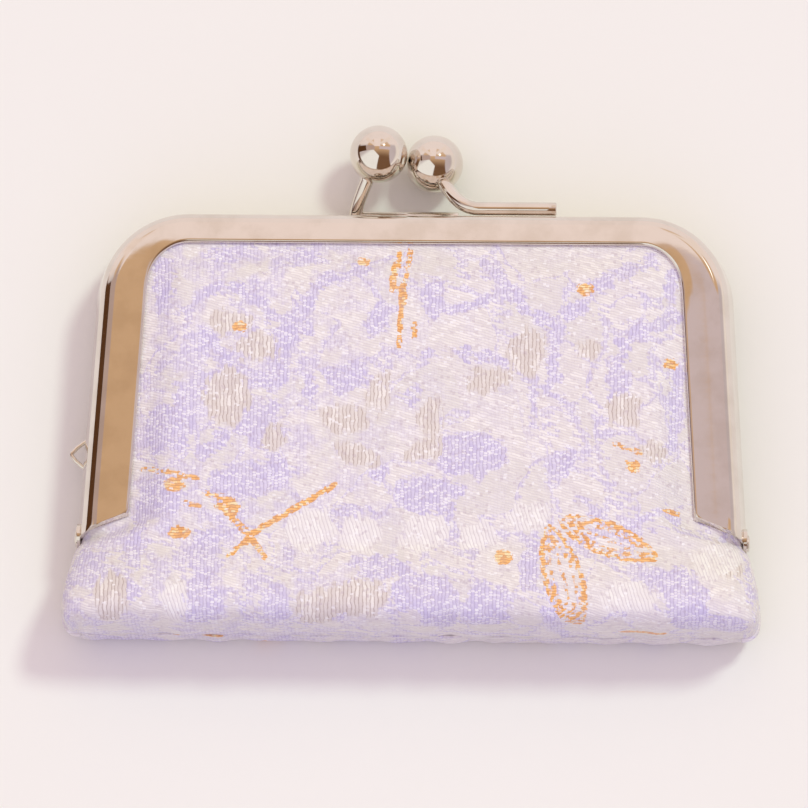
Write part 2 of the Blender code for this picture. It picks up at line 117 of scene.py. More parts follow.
class Nodes:
    """Adds nodes to a tree and links them, so a formula reads in one line."""

    def __init__(self, tree):
        self.tree = tree

    def add(self, kind, inputs=None, **settings):
        node = self.tree.nodes.new(kind)
        for key, value in settings.items():
            setattr(node, key, value)
        for key, value in (inputs or {}).items():
            self.feed(node.inputs[key], value)
        return node

    def feed(self, socket, value):
        if isinstance(value, bpy.types.NodeSocket):
            self.tree.links.new(value, socket)
        else:
            socket.default_value = value

    def math(self, operation, *values, clamp=False):
        node = self.add("ShaderNodeMath", operation=operation, use_clamp=clamp)
        for socket, value in zip(node.inputs, values):
            self.feed(socket, value)
        return node.outputs[0]

    def mix(self, share, low, high):
        node = self.add("ShaderNodeMix", data_type="RGBA")
        self.feed(node.inputs["Factor"], share)
        for name, value in (("A", low), ("B", high)):
            socket = next(s for s in node.inputs if s.name == name and s.type == "RGBA")
            self.feed(socket, value if isinstance(value, bpy.types.NodeSocket) else (*value, 1.0))
        return next(s for s in node.outputs if s.type == "RGBA")

    def ramp(self, value, low, high, start=0.0, end=1.0):
        node = self.add("ShaderNodeMapRange", interpolation_type="SMOOTHSTEP")
        for name, number in (("From Min", low), ("From Max", high), ("To Min", start), ("To Max", end)):
            self.feed(node.inputs[name], number)
        self.feed(node.inputs["Value"], value)
        return node.outputs[0]


def new_group(name, inputs, outputs):
    """An empty node group with named sockets; returns its kit, its inputs and its output node."""
    tree = bpy.data.node_groups.new(name, "ShaderNodeTree")
    for socket, kind in inputs:
        tree.interface.new_socket(name=socket, in_out="INPUT", socket_type=kind)
    for socket, kind in outputs:
        tree.interface.new_socket(name=socket, in_out="OUTPUT", socket_type=kind)
    kit = Nodes(tree)
    return kit, kit.add("NodeGroupInput").outputs, kit.add("NodeGroupOutput").inputs


FLOAT = "NodeSocketFloat"
print("node kit ready")

# %% [markdown]
# ## Polished metal
#
# The frame is pressed from steel sheet and plated with nickel. Its colour barely changes, so what makes
# it look real is the roughness: hair-fine rub marks that run with the polishing wheel, a few dull spots
# where fingers touch, and a trace of plating haze. The group gives a rub mask and a haze mask, and the
# material turns them into small changes of colour, roughness and surface.

# %% Group: rub marks and haze of a plated surface


def plated_wear():
    kit, given, out = new_group(
        "plated wear",
        (("Marks per m", FLOAT), ("Haze per m", FLOAT)),
        (("Marks", FLOAT), ("Haze", FLOAT)),
    )
    where = kit.add("ShaderNodeTexCoord").outputs["Object"]
    drawn = kit.add("ShaderNodeMapping", {"Vector": where, "Scale": (0.25, 1.0, 1.0)}).outputs[0]
    marks = kit.add("ShaderNodeTexNoise", {"Vector": drawn, "Scale": given["Marks per m"], "Detail": 5.0})
    haze = kit.add("ShaderNodeTexNoise", {"Vector": where, "Scale": given["Haze per m"], "Detail": 3.0})
    kit.feed(out["Marks"], kit.ramp(marks.outputs["Fac"], 0.35, 0.75))
    kit.feed(out["Haze"], kit.ramp(haze.outputs["Fac"], 0.4, 0.7))
    return kit.tree


WEAR = plated_wear()
MARKS_PER_M = 4000.0
HAZE_PER_M = 260.0


def nickel_finish(name, color, dull_color, roughness):
    """Nickel plate with rub marks; the dull colour lies in the haze."""
    made = bpy.data.materials.new(name)
    made.use_nodes = True
    kit = Nodes(made.node_tree)
    shader = made.node_tree.nodes["Principled BSDF"]
    wear = kit.add("ShaderNodeGroup", node_tree=WEAR)
    wear.inputs["Marks per m"].default_value = MARKS_PER_M
    wear.inputs["Haze per m"].default_value = HAZE_PER_M
    shader.inputs["Metallic"].default_value = 1.0
    kit.feed(shader.inputs["Base Color"], kit.mix(wear.outputs["Haze"], color, dull_color))
    rubbed = kit.math("MULTIPLY_ADD", wear.outputs["Marks"], 0.03, roughness)
    kit.feed(shader.inputs["Roughness"], kit.math("MULTIPLY_ADD", wear.outputs["Haze"], 0.02, rubbed))
    marks = wear.outputs["Marks"]
    bump = kit.add("ShaderNodeBump", {"Height": marks, "Strength": 0.02, "Distance": 0.01 * MM})
    kit.feed(shader.inputs["Normal"], bump.outputs[0])
    return made


NICKEL = nickel_finish("nickel plate", (0.80, 0.745, 0.685), (0.73, 0.67, 0.60), 0.05)
print("metal finish", NICKEL.name)

# %% [markdown]
# ## Brocade
#
# Jacquard brocade is woven, not printed: a lavender ground of upright warp yarns shows its weft as small
# bright beads, white weft floats lie across it in petals, silver-grey floats stand as upright ribs, and a
# gold thread is brought up in short strokes. Each yarn is a fraction of a millimetre, so the yarns are
# drawn by the material, on the cloth's own measure: the UV map holds millimetres across and along the
# cloth. The masks that say which yarns lie on top are stored on the mesh, as distances from each motif's
# edge, and the group steps them yarn by yarn.

# %% Group: yarns side by side


def yarn_rows():
    """Round yarns along one direction, cut into stitches, with a shade for each stitch."""
    kit, given, out = new_group(
        "yarn rows",
        (("Across", FLOAT), ("Along", FLOAT), ("Pitch", FLOAT), ("Stitch", FLOAT), ("Seed", FLOAT)),
        (("Roundness", FLOAT), ("Bead", FLOAT), ("Shade", FLOAT)),
    )
    turn = kit.math("DIVIDE", given["Across"], given["Pitch"])
    row = kit.math("FLOOR", turn)
    side = kit.math("SUBTRACT", kit.math("SUBTRACT", turn, row), 0.5)
    round_top = kit.math("SUBTRACT", 1.0, kit.math("MULTIPLY", kit.math("MULTIPLY", side, side), 4.0))
    stagger = kit.math("MULTIPLY", kit.math("MODULO", row, 2.0), 0.5)
    step = kit.math("ADD", kit.math("DIVIDE", given["Along"], given["Stitch"]), stagger)
    cell = kit.math("FLOOR", step)
    place_in = kit.math("SUBTRACT", kit.math("SUBTRACT", step, cell), 0.5)
    bead = kit.math("SUBTRACT", 1.0, kit.math("MULTIPLY", kit.math("MULTIPLY", place_in, place_in), 4.0))
    spot = kit.add("ShaderNodeCombineXYZ", {"X": row, "Y": cell, "Z": given["Seed"]}).outputs[0]
    shade = kit.add("ShaderNodeTexWhiteNoise", {"Vector": spot}, noise_dimensions="3D")
    kit.feed(out["Roundness"], round_top)
    kit.feed(out["Bead"], bead)
    kit.feed(out["Shade"], shade.outputs["Value"])
    return kit.tree


YARNS = yarn_rows()
print("yarn group", YARNS.name)

# %% [markdown]
# The brocade material lays the weaves over each other: the lavender ground first, then white floats,
# silver ribs, glossy upright floats and gold strokes. A mask is a distance in millimetres, negative
# inside a motif. Each stitch adds its own shade to that distance before it is cut off at nought, so that
# edges step from yarn to yarn. The white floats are parted into leaves by the cells of a bent Voronoi
# pattern, which also makes some leaves greyer. Last come painted highlights and painted shade on single
# stitches, a little age, and the warmth of the dye.

# %% Yarns of the brocade, and the colours they take
# Pitch of the yarns and length of a stitch, in millimetres
YARN = {
    "ground": (0.42, 0.32), "float": (0.33, 0.9), "rib": (0.45, 1.3), "shine": (0.42, 1.1),
    # The last entry is no real yarn: its stitches carry painted highlights and painted shade.
    "gold": (0.33, 0.40), "glint_and_shade_grid": (0.36, 0.40),
}
# Motif, weave, strength, raggedness and softness of its edge in millimetres, share of dark stitches, and
# the colours between the yarns, on them and on the brightest of them
WEAVES = (
    ("white", "float", 0.92, 0.8, 0.2, 0.45, (0.77, 0.69, 0.67), (0.88, 0.81, 0.76), (0.985, 0.92, 0.855)),
    ("silver", "rib", 0.92, 0.9, 0.25, 0.12, (0.48, 0.37, 0.31), (0.79, 0.70, 0.64), (0.94, 0.87, 0.80)),
    ("shine", "shine", 0.9, 0.9, 0.2, 0.1, (0.72, 0.65, 0.64), (0.93, 0.87, 0.84), (1.0, 0.96, 0.91)),
    ("gold", "gold", 1.0, 0.3, 0.06, 0.45, (0.62, 0.24, 0.08), (1.0, 0.53, 0.16), (1.0, 0.83, 0.45)),
)
COLUMN_GAP, COLUMN, COLUMN_DARK = (0.53, 0.45, 0.60), (0.73, 0.655, 0.835), (0.56, 0.48, 0.72)
BEAD = (0.96, 0.91, 0.94)
GREY_LEAF = (0.78, 0.72, 0.665)
AGED, DUSKY = (0.84, 0.77, 0.66), (0.68, 0.60, 0.64)
# Colours of painted shade and painted highlights on single stitches
PAINTED_SHADE_COLOR, GLINT = (0.50, 0.38, 0.44), (1.0, 0.965, 0.96)
DYE_WARMTH = (0.968, 1.0, 0.925)
LEAVES_PER_MM = 0.17
SLANT, LEAN_OF_SHINE = 0.28, 0.3


def woven(kit, across, along, weave, seed):
    """The yarn group for one weave."""
    rows = kit.add("ShaderNodeGroup", node_tree=YARNS)
    for name, value in (("Across", across), ("Along", along)):
        kit.feed(rows.inputs[name], value)
    for name, value in (("Pitch", YARN[weave][0]), ("Stitch", YARN[weave][1]), ("Seed", seed)):
        rows.inputs[name].default_value = value
    return rows.outputs


def motif_mask(kit, attribute, shade, ragged, soft):
    """1 inside a motif, with its edge stepped by the stitches' shades."""
    distance = kit.add("ShaderNodeAttribute", attribute_name=attribute).outputs["Fac"]
    stepped = kit.math("MULTIPLY_ADD", kit.math("SUBTRACT", shade, 0.5), ragged, distance)
    return kit.ramp(stepped, soft, -soft)


def lavender_ground(kit, yarns):
    """Upright lavender columns with bright beads of weft."""
    column = kit.mix(kit.ramp(yarns["Roundness"], 0.0, 0.8), COLUMN_GAP, COLUMN)
    darker = kit.math("MULTIPLY", kit.ramp(yarns["Shade"], 0.45, 0.0), 0.5)
    column = kit.mix(darker, column, COLUMN_DARK)
    bead = kit.math("MULTIPLY", kit.ramp(yarns["Bead"], 0.35, 0.95), kit.ramp(yarns["Shade"], 0.4, 0.95))
    return kit.mix(kit.math("MULTIPLY", bead, 0.9), column, BEAD)


def cloudy(kit, measure, scale, low, high):
    """A soft mask that drifts over the cloth, as uneven packing of the weft does."""
    drift = kit.add("ShaderNodeTexNoise", {"Vector": measure, "Scale": scale, "Detail": 3.0})
    return kit.ramp(drift.outputs["Fac"], low, high)


# %% Leaves in the white floats


def parted_leaves(kit, measure):
    """Distance to the nearest gap between leaves, and two random numbers for each leaf."""
    noisy = kit.add("ShaderNodeTexNoise", {"Vector": measure, "Scale": 0.22, "Detail": 2.0})
    push = {0: noisy.outputs["Color"], 1: (4.0, 4.0, 0.0), 2: measure}
    bent = kit.add("ShaderNodeVectorMath", push, operation="MULTIPLY_ADD")
    cell = {"Vector": bent.outputs[0], "Scale": LEAVES_PER_MM}
    leaves = kit.add("ShaderNodeTexVoronoi", cell)
    gap = kit.add("ShaderNodeTexVoronoi", cell, feature="DISTANCE_TO_EDGE")
    number = kit.add("ShaderNodeSeparateColor", {"Color": leaves.outputs["Color"]}).outputs
    return gap.outputs["Distance"], number["Red"], number["Green"]


def leafy_mask(kit, mask, shade, mingled, gap, number):
    """Thins the white where it mingles with the ground, and parts it into leaves."""
    mask = kit.math("MULTIPLY", mask, kit.math("SUBTRACT", 1.0, mingled))
    stepped = kit.math("MULTIPLY_ADD", kit.math("SUBTRACT", shade, 0.5), 0.14, gap)
    between = kit.math("MULTIPLY", kit.ramp(stepped, 0.07, 0.03), kit.ramp(number, 0.25, 0.5))
    return kit.math("MULTIPLY", mask, kit.math("MULTIPLY_ADD", between, -0.8, 1.0))


def yarn_color(kit, yarns, flecked, dark, plain, bright):
    """Colour of one weave: dark between its yarns, plain on them, bright or dark in single stitches."""
    top = kit.mix(kit.ramp(yarns["Shade"], 0.45, 0.95), plain, bright)
    top = kit.mix(kit.math("MULTIPLY", kit.ramp(yarns["Shade"], 0.3, 0.05), flecked), top, dark)
    return kit.mix(kit.ramp(yarns["Roundness"], 0.0, 0.7), dark, top)


# %% Age, painted glints and shade, and dye


def aged_color_with_painted_light(kit, measure, glint_and_shade_stitches, color):
    """Age yellowing, random mauve-grey clouds, painted shade and painted glints on stitches, the dye's
    warmth.
    """
    color = kit.mix(kit.math("MULTIPLY", cloudy(kit, measure, 0.25, 0.35, 0.7), 0.14), color, AGED)
    color = kit.mix(kit.math("MULTIPLY", cloudy(kit, measure, 0.9, 0.35, 0.75), 0.10), color, DUSKY)
    # Painted shade: a few single stitches are darkened.
    painted_shade_mask = kit.math("MULTIPLY", kit.ramp(glint_and_shade_stitches["Shade"], 0.12, 0.02), kit.ramp(glint_and_shade_stitches["Bead"], 0.0, 0.6))
    color = kit.mix(kit.math("MULTIPLY", painted_shade_mask, 0.3), color, PAINTED_SHADE_COLOR)
    # Painted highlights: a few single stitches are brightened as glints.
    glint = kit.math("MULTIPLY", kit.ramp(glint_and_shade_stitches["Shade"], 0.88, 0.99), kit.ramp(glint_and_shade_stitches["Bead"], 0.3, 0.95))
    color = kit.mix(kit.math("MULTIPLY", glint, 0.7), color, GLINT)
    return kit.add("ShaderNodeVectorMath", {0: color, 1: DYE_WARMTH}, operation="MULTIPLY").outputs[0]


# %% Brocade finish


def wavering_yarns(kit, measure):
    """The places across and along the cloth, with yarns that waver a little."""
    apart = kit.add("ShaderNodeSeparateXYZ", {"Vector": measure}).outputs
    wobble = kit.add("ShaderNodeTexNoise", {"Vector": measure, "Scale": 0.9, "Detail": 4.0}).outputs["Fac"]
    wobble = kit.math("SUBTRACT", wobble, 0.5)
    across = kit.math("MULTIPLY_ADD", wobble, 0.6, apart["X"])
    return across, kit.math("MULTIPLY_ADD", wobble, -0.55, apart["Y"])


def weave_rows(kit, across, along):
    """Each weave's yarns, in its own direction."""
    slanted = kit.math("MULTIPLY_ADD", across, SLANT, along)
    leaning = kit.math("MULTIPLY_ADD", along, LEAN_OF_SHINE, across)
    directions = {"ground": (across, along), "float": (slanted, across), "rib": (across, along),
                  "shine": (leaning, along), "gold": (along, across)}
    return {name: woven(kit, *way, name, 1.0 + i) for i, (name, way) in enumerate(directions.items())}


def brocade_finish():
    made = bpy.data.materials.new("lavender brocade")
    made.use_nodes = True
    kit = Nodes(made.node_tree)
    shader = made.node_tree.nodes["Principled BSDF"]
    measure = kit.add("ShaderNodeUVMap", uv_map="cloth mm").outputs[0]
    across, along = wavering_yarns(kit, measure)
    rows = weave_rows(kit, across, along)
    color = lavender_ground(kit, rows["ground"])
    height = kit.math("MULTIPLY_ADD", rows["ground"]["Bead"], 0.35, rows["ground"]["Roundness"])
    leftward = kit.ramp(across, 12.0, -22.0, 0.15, 0.75)
    mingled = kit.math("MULTIPLY", cloudy(kit, measure, 0.33, 0.42, 0.62), leftward)
    gap, red, green = parted_leaves(kit, measure)
    for attribute, weave, strength, ragged, soft, flecked, *colors in WEAVES:
        yarns = rows[weave]
        mask = kit.math("MULTIPLY", motif_mask(kit, attribute, yarns["Shade"], ragged, soft), strength)
        woven_color = yarn_color(kit, yarns, flecked, *colors)
        if attribute == "white":
            mask = leafy_mask(kit, mask, yarns["Shade"], mingled, gap, green)
            greyer = kit.math("MULTIPLY", kit.ramp(red, 0.55, 0.75), 0.45)
            woven_color = kit.mix(greyer, woven_color, GREY_LEAF)
        color = kit.mix(mask, color, woven_color)
        raised = kit.math("MULTIPLY_ADD", yarns["Bead"], 0.2, kit.math("ADD", yarns["Roundness"], 0.3))
        height = kit.math("ADD", kit.math("MULTIPLY", height, kit.math("SUBTRACT", 1.0, mask)),
                          kit.math("MULTIPLY", raised, mask))
    # Stitch grid that places the painted highlights and painted shade
    glint_and_shade_stitches = woven(kit, across, along, "glint_and_shade_grid", 8.0)
    kit.feed(shader.inputs["Base Color"], aged_color_with_painted_light(kit, measure, glint_and_shade_stitches, color))
    shader.inputs["Roughness"].default_value = 0.55
    shader.inputs["Sheen Weight"].default_value = 0.12
    shader.inputs["Specular IOR Level"].default_value = 0.35
    bump = kit.add("ShaderNodeBump", {"Height": height, "Strength": 0.4, "Distance": 0.1 * MM})
    kit.feed(shader.inputs["Normal"], bump.outputs[0])
    return made


BROCADE = brocade_finish()
print("brocade weaves", sorted(YARN))

# %% [markdown]
# ## Lining, felt, paper
#
# Inside, the purse is plain: a satin lining, a felted pad behind each panel, twisted kraft paper cord
# that wedges the cloth in the channels, and a card on the floor of the bag. They are nearly hidden, but
# they are what one sees when the purse is open or taken apart.

# %% Satin, felt and paper finishes


def object_position(kit, scale):
    where = kit.add("ShaderNodeTexCoord").outputs["Object"]
    return kit.add("ShaderNodeMapping", {"Vector": where, "Scale": scale}).outputs[0]


def satin_finish():
    made = bpy.data.materials.new("lining satin")
    made.use_nodes = True
    kit = Nodes(made.node_tree)
    shader = made.node_tree.nodes["Principled BSDF"]
    measure = kit.add("ShaderNodeUVMap", uv_map="cloth mm").outputs[0]
    apart = kit.add("ShaderNodeSeparateXYZ", {"Vector": measure}).outputs
    rows = kit.add("ShaderNodeGroup", node_tree=YARNS)
    kit.feed(rows.inputs["Across"], apart["X"])
    kit.feed(rows.inputs["Along"], apart["Y"])
    for name, value in (("Pitch", 0.24), ("Stitch", 1.1), ("Seed", 7.0)):
        rows.inputs[name].default_value = value
    tone = kit.mix(rows.outputs["Shade"], (0.70, 0.67, 0.74), (0.80, 0.77, 0.82))
    color = kit.mix(kit.ramp(rows.outputs["Roundness"], 0.0, 0.5), (0.52, 0.49, 0.58), tone)
    kit.feed(shader.inputs["Base Color"], color)
    shader.inputs["Roughness"].default_value = 0.38
    shader.inputs["Sheen Weight"].default_value = 0.1
    yarns = rows.outputs["Roundness"]
    bump = kit.add("ShaderNodeBump", {"Height": yarns, "Strength": 0.35, "Distance": 0.06 * MM})
    kit.feed(shader.inputs["Normal"], bump.outputs[0])
    return made


def fibre_finish(name, low, high, scale, fleck_scale, roughness, bump_mm):
    """Felt, card or paper: fibres drawn out along one direction, with flecks."""
    made = bpy.data.materials.new(name)
    made.use_nodes = True
    kit = Nodes(made.node_tree)
    shader = made.node_tree.nodes["Principled BSDF"]
    drawn = object_position(kit, scale)
    fibres = kit.add("ShaderNodeTexNoise", {"Vector": drawn, "Scale": 1.0, "Detail": 6.0})
    where = object_position(kit, (fleck_scale,) * 3)
    flecks = kit.add("ShaderNodeTexVoronoi", {"Vector": where, "Scale": 1.0})
    tone = kit.mix(kit.ramp(fibres.outputs["Fac"], 0.3, 0.7), low, high)
    dark = tuple(part * 0.7 for part in low)
    color = kit.mix(kit.ramp(flecks.outputs["Distance"], 0.12, 0.05), tone, dark)
    kit.feed(shader.inputs["Base Color"], color)
    shader.inputs["Roughness"].default_value = roughness
    fuzz = {"Height": fibres.outputs["Fac"], "Strength": 0.5, "Distance": bump_mm * MM}
    bump = kit.add("ShaderNodeBump", fuzz)
    kit.feed(shader.inputs["Normal"], bump.outputs[0])
    return made


SATIN = satin_finish()
FELT = fibre_finish("interlining felt", (0.70, 0.68, 0.64), (0.84, 0.82, 0.78),
                    (900, 2600, 1500), 900, 0.95, 0.1)
KRAFT = fibre_finish("kraft card", (0.42, 0.31, 0.20), (0.58, 0.45, 0.31),
                     (700, 4200, 4200), 1500, 0.9, 0.04)
for node, finish in (
    ("back_interlining", FELT), ("front_interlining", FELT), ("base_card", KRAFT),
    ("back_paper_cord", KRAFT), ("front_paper_cord", KRAFT),
):
    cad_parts[node].data.materials.clear()
    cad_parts[node].data.materials.append(finish)
print("finishes", [finish.name for finish in (SATIN, FELT, KRAFT)])

# %% [markdown]
# ## The metal channel
#
# Each frame half is a channel pressed from sheet: an outer web that flares towards the table, a rounded
# shoulder, a flat face and a rolled inner lip, with a flange turned in at the parting plane. In the
# workshop it is drawn as one section and bent round. Here the section is drawn once on the middle of the
# top bar, its corners are rounded, and it is pulled along the bar, spun round the corner and pulled down
# the leg. The other half is its mirror image. The face is wider on the legs than on the top bar, so the
# points that belong to it are moved in after the sweep.

# %% The frame's outline
FRAME_TOP = 39.0
HALF_WIDTH = 39.2
LEAN = math.radians(3.3)
CORNER = 11.0
HALF_DEPTH = 5.5
TOP_FACE = 4.4
LEG_FACE = 6.1
FLARE = 0.75
PARTING = 0.15
SHEET = 0.5
corner_v = FRAME_TOP - CORNER
corner_along = (corner_v + CORNER * math.sin(LEAN)) / math.cos(LEAN)
corner_u = HALF_WIDTH - corner_along * math.sin(LEAN) - CORNER * math.cos(LEAN)
print("corner centre", round(corner_u, 2), round(corner_v, 2))


def smooth_step(x):
    """Eases from 0 to 1 as x does."""
    x = min(1.0, max(0.0, x))
    return x * x * (3 - 2 * x)


def inward(u, v):
    """The way inward from the outline on the right half, and how far round the corner the place is."""
    angle = math.atan2(v - corner_v, u - corner_u)
    angle = min(math.pi / 2, max(LEAN, angle))
    turned = (angle - LEAN) / (math.pi / 2 - LEAN)
    return Vector((-math.cos(angle), -math.sin(angle))), smooth_step(turned)


def leg_u(v, inset=0.0):
    return HALF_WIDTH - v * math.tan(LEAN) - inset / math.cos(LEAN)


# %% Section of the channel, rounded corner by corner
FACE_SLOPE = 0.3
CORNER_DIP = 0.14
DIP_START_V = 25
DIP_RUN = 9
DIP_FADE_FROM = 0.45
CROWN_TILT = 0.030
CROWN_BEND = 0.0124


def crown(inset):
    """Height of the slightly domed face at an inset from the outline."""
    left = TOP_FACE - inset
    return HALF_DEPTH - CROWN_TILT * left - CROWN_BEND * left * left


def channel_section(bm, side):
    """The closed section on the middle of the top bar, as a wire loop."""
    top = HALF_DEPTH - FACE_SLOPE
    flare_top = FLARE * (top - PARTING) / (HALF_DEPTH - 1.0 - PARTING)
    lip = HALF_DEPTH - 0.72
    corners = (
        ((0.0, PARTING), 0.12, 2),
        ((flare_top, top), 1.45, 16),
        ((2.6, crown(2.6)), 0.0, 0),
        ((2.95, crown(2.95)), 0.0, 0),
        ((3.35, crown(3.35)), 0.0, 0),
        ((TOP_FACE - 0.4, crown(TOP_FACE - 0.4)), 0.0, 0),
        ((TOP_FACE, HALF_DEPTH), 0.34, 5),
        ((TOP_FACE, lip), 0.14, 2),
        ((TOP_FACE - 0.4, lip), 0.1, 1),
        ((TOP_FACE - 0.42, HALF_DEPTH - SHEET), 0.1, 1),
        ((1.45, top - SHEET), 0.4, 3),
        ((0.52, PARTING + SHEET), 0.15, 2),
        ((3.6, PARTING + SHEET), 0.1, 1),
        ((3.6, PARTING), 0.1, 2),
    )
    made = [bm.verts.new(place(0, FRAME_TOP - inset, side * depth)) for (inset, depth), _, _ in corners]
    face = bm.faces.new(made)
    for vert, (_, radius, steps) in zip(made, corners):
        if radius:
            bmesh.ops.bevel(bm, geom=[vert], offset=radius * MM, offset_type="OFFSET", segments=steps,
                            profile=0.5, affect="VERTICES", material=-1)
    bmesh.ops.delete(bm, geom=list(bm.faces), context="FACES_ONLY")
    return list(bm.edges)


def drawn_on(bm, edges, step, count):
    """Pulls a wire loop along a step, count times, and returns the last loop."""
    for _ in range(count):
        made = bmesh.ops.extrude_edge_only(bm, edges=edges)["geom"]
        verts = {item for item in made if isinstance(item, bmesh.types.BMVert)}
        bmesh.ops.translate(bm, verts=list(verts), vec=step)
        edges = [edge for vert in verts for edge in vert.link_edges if edge.other_vert(vert) in verts]
        edges = list(set(edges))
    return edges


def spun(bm, edges, middle, angle, steps):
    """Turns a wire loop about an upright line through the middle, and returns the last loop."""
    verts = list({vert for edge in edges for vert in edge.verts})
    last = bmesh.ops.spin(bm, geom=verts + edges, cent=middle, axis=(0, 0, 1), dvec=(0, 0, 0), angle=angle,
                          steps=steps, use_merge=False, use_normal_flip=False,
                          use_duplicate=False)["geom_last"]
    return [item for item in last if isinstance(item, bmesh.types.BMEdge)]


# %% [markdown]
# The leg is cut off on a slant, because the pressing leaves room there for the hinge. A plane cuts the
# pulled section, the cut is closed, and the half is mirrored.

# %% One frame half
LEG_CUT_RISE = 2.0
END_SLANT = 0.4


def widen_face(bm):
    """Moves the face's inner part in where it is wider, and presses a crescent into the corners."""
    part, dip = bm.verts.layers.float["face part"], bm.verts.layers.float["dip part"]
    for vert in bm.verts:
        if vert[part]:
            u, v = vert.co.x / MM, vert.co.y / MM - HINGE_Y
            way, share = inward(u, v)
            extra = (LEG_FACE - TOP_FACE) * (1 - share) * vert[part]
            vert.co += Vector((way.x, way.y, 0)) * extra * MM
            fading = smooth_step((share - DIP_FADE_FROM) / (1 - DIP_FADE_FROM))
            at_corner = smooth_step((v - DIP_START_V) / DIP_RUN) * (1 - fading)
            vert.co.z += math.copysign(CORNER_DIP * at_corner * vert[dip], MIDDLE_Z * MM - vert.co.z) * MM


def cut_leg(bm):
    """Cuts the leg's end on its slant, closes the cut and slopes it where it ends the face."""
    low = place(HALF_WIDTH - FLARE, -0.4, 0)
    high = place(HALF_WIDTH - LEG_FACE, -0.4 + LEG_CUT_RISE, 0)
    along = high - low
    across = Vector((-along.y, along.x, 0)).normalized()
    if across.y > 0:
        across = -across
    near = [f for f in bm.faces if f.calc_center_median().y < place(0, 12, 0).y]
    geom = near + list({e for f in near for e in f.edges}) + list({v for f in near for v in f.verts})
    bmesh.ops.bisect_plane(bm, geom=geom, dist=1e-7, plane_co=low, plane_no=across, clear_outer=True)
    rim = [e for e in bm.edges if e.is_boundary and max(v.co.y for v in e.verts) < place(0, 12, 0).y]
    caps = bmesh.ops.contextual_create(bm, geom=rim)["faces"]
    for vert in {v for f in caps for v in f.verts}:
        depth = abs(vert.co.z / MM - MIDDLE_Z) - (HALF_DEPTH - SHEET - 0.05)
        if depth > 0:
            vert.co -= across * END_SLANT * depth / SHEET * MM
    return caps


def frame_half(side):
    """Right half by pulling and spinning the section, then its mirror image."""
    bm = bmesh.new()
    bm.verts.layers.float.new("face part")
    bm.verts.layers.float.new("dip part")
    part, dip = bm.verts.layers.float["face part"], bm.verts.layers.float["dip part"]
    loop = channel_section(bm, side)
    for vert in bm.verts:
        inset = FRAME_TOP - (vert.co.y / MM - HINGE_Y)
        depth = abs(vert.co.z / MM - MIDDLE_Z)
        vert[part] = min(1.0, max(0.0, (inset - 2.2) / 0.75)) if depth > 3.0 or inset > 3.0 else 0.0
        vert[dip] = min(1.0, max(0.0, (inset - 3.1) / (TOP_FACE - 3.1))) ** 1.5 if depth > 3.0 else 0.0
    loop = drawn_on(bm, loop, Vector((corner_u * MM / 14, 0, 0)), 14)
    loop = spun(bm, loop, place(corner_u, corner_v, 0), -(math.pi / 2 - LEAN), 22)
    length = corner_v + 4.0
    step = Vector((math.sin(LEAN), -math.cos(LEAN), 0)) * length * MM / 16
    drawn_on(bm, loop, step, 16)
    widen_face(bm)
    caps = cut_leg(bm)
    rim = [e for f in caps for e in f.edges]
    bmesh.ops.bevel(bm, geom=rim, offset=0.07 * MM, offset_type="OFFSET", segments=2, profile=0.5,
                    affect="EDGES", material=-1, clamp_overlap=True)
    bmesh.ops.mirror(bm, geom=list(bm.verts) + list(bm.edges) + list(bm.faces), axis="X", merge_dist=1e-6)
    bmesh.ops.remove_doubles(bm, verts=bm.verts, dist=1e-7)
    bmesh.ops.recalc_face_normals(bm, faces=bm.faces)
    return bm


# %% [markdown]
# ## The hinge
#
# At the end of each leg, a rounded ear of the front half lies over an ear of the back half, and a rivet
# goes through both. The front ear is a disc with a short tail along the web. The back web is notched
# round it, so the halves can turn. The rivet is a turned shape: half its section, spun about its own
# line.

# %% Ears and rivets
EAR_RADIUS = 1.5
EAR_OUTER = HALF_WIDTH + 0.05
LAP = 0.35


def disc(bm, radius, near_u, far_u, v=0.0, w=0.0, sides=40):
    """A flat disc across u, with softened rims."""
    turn = Matrix.Translation(place(near_u, v, w)) @ Matrix.Rotation(math.pi / 2, 4, "Y")
    made = bmesh.ops.create_circle(bm, cap_ends=True, segments=sides, radius=radius * MM,
                                   matrix=turn)["verts"]
    face = made[0].link_faces[0]
    grown = bmesh.ops.extrude_face_region(bm, geom=[face])["geom"]
    verts = [item for item in grown if isinstance(item, bmesh.types.BMVert)]
    bmesh.ops.translate(bm, verts=verts, vec=Vector(((far_u - near_u) * MM, 0, 0)))
    return made + verts


def ear(bm, hand, outer, side, tail):
    """A disc on the hinge line, drawn out along its leg's web."""
    verts = disc(bm, EAR_RADIUS, hand * (outer - SHEET), hand * outer)
    for vert in verts:
        depth = side * (vert.co.z / MM - MIDDLE_Z)
        if depth > 0.01:
            vert.co.z += side * tail * MM * min(1.0, depth / 0.6)
    bmesh.ops.recalc_face_normals(bm, faces=list({f for v in verts for f in v.link_faces}))
    rims = [e for e in {e for v in verts for e in v.link_edges} if e.calc_face_angle(0) > 1.0]
    bmesh.ops.bevel(bm, geom=rims, offset=0.08 * MM, offset_type="OFFSET", segments=2, profile=0.5,
                    affect="EDGES", material=-1)


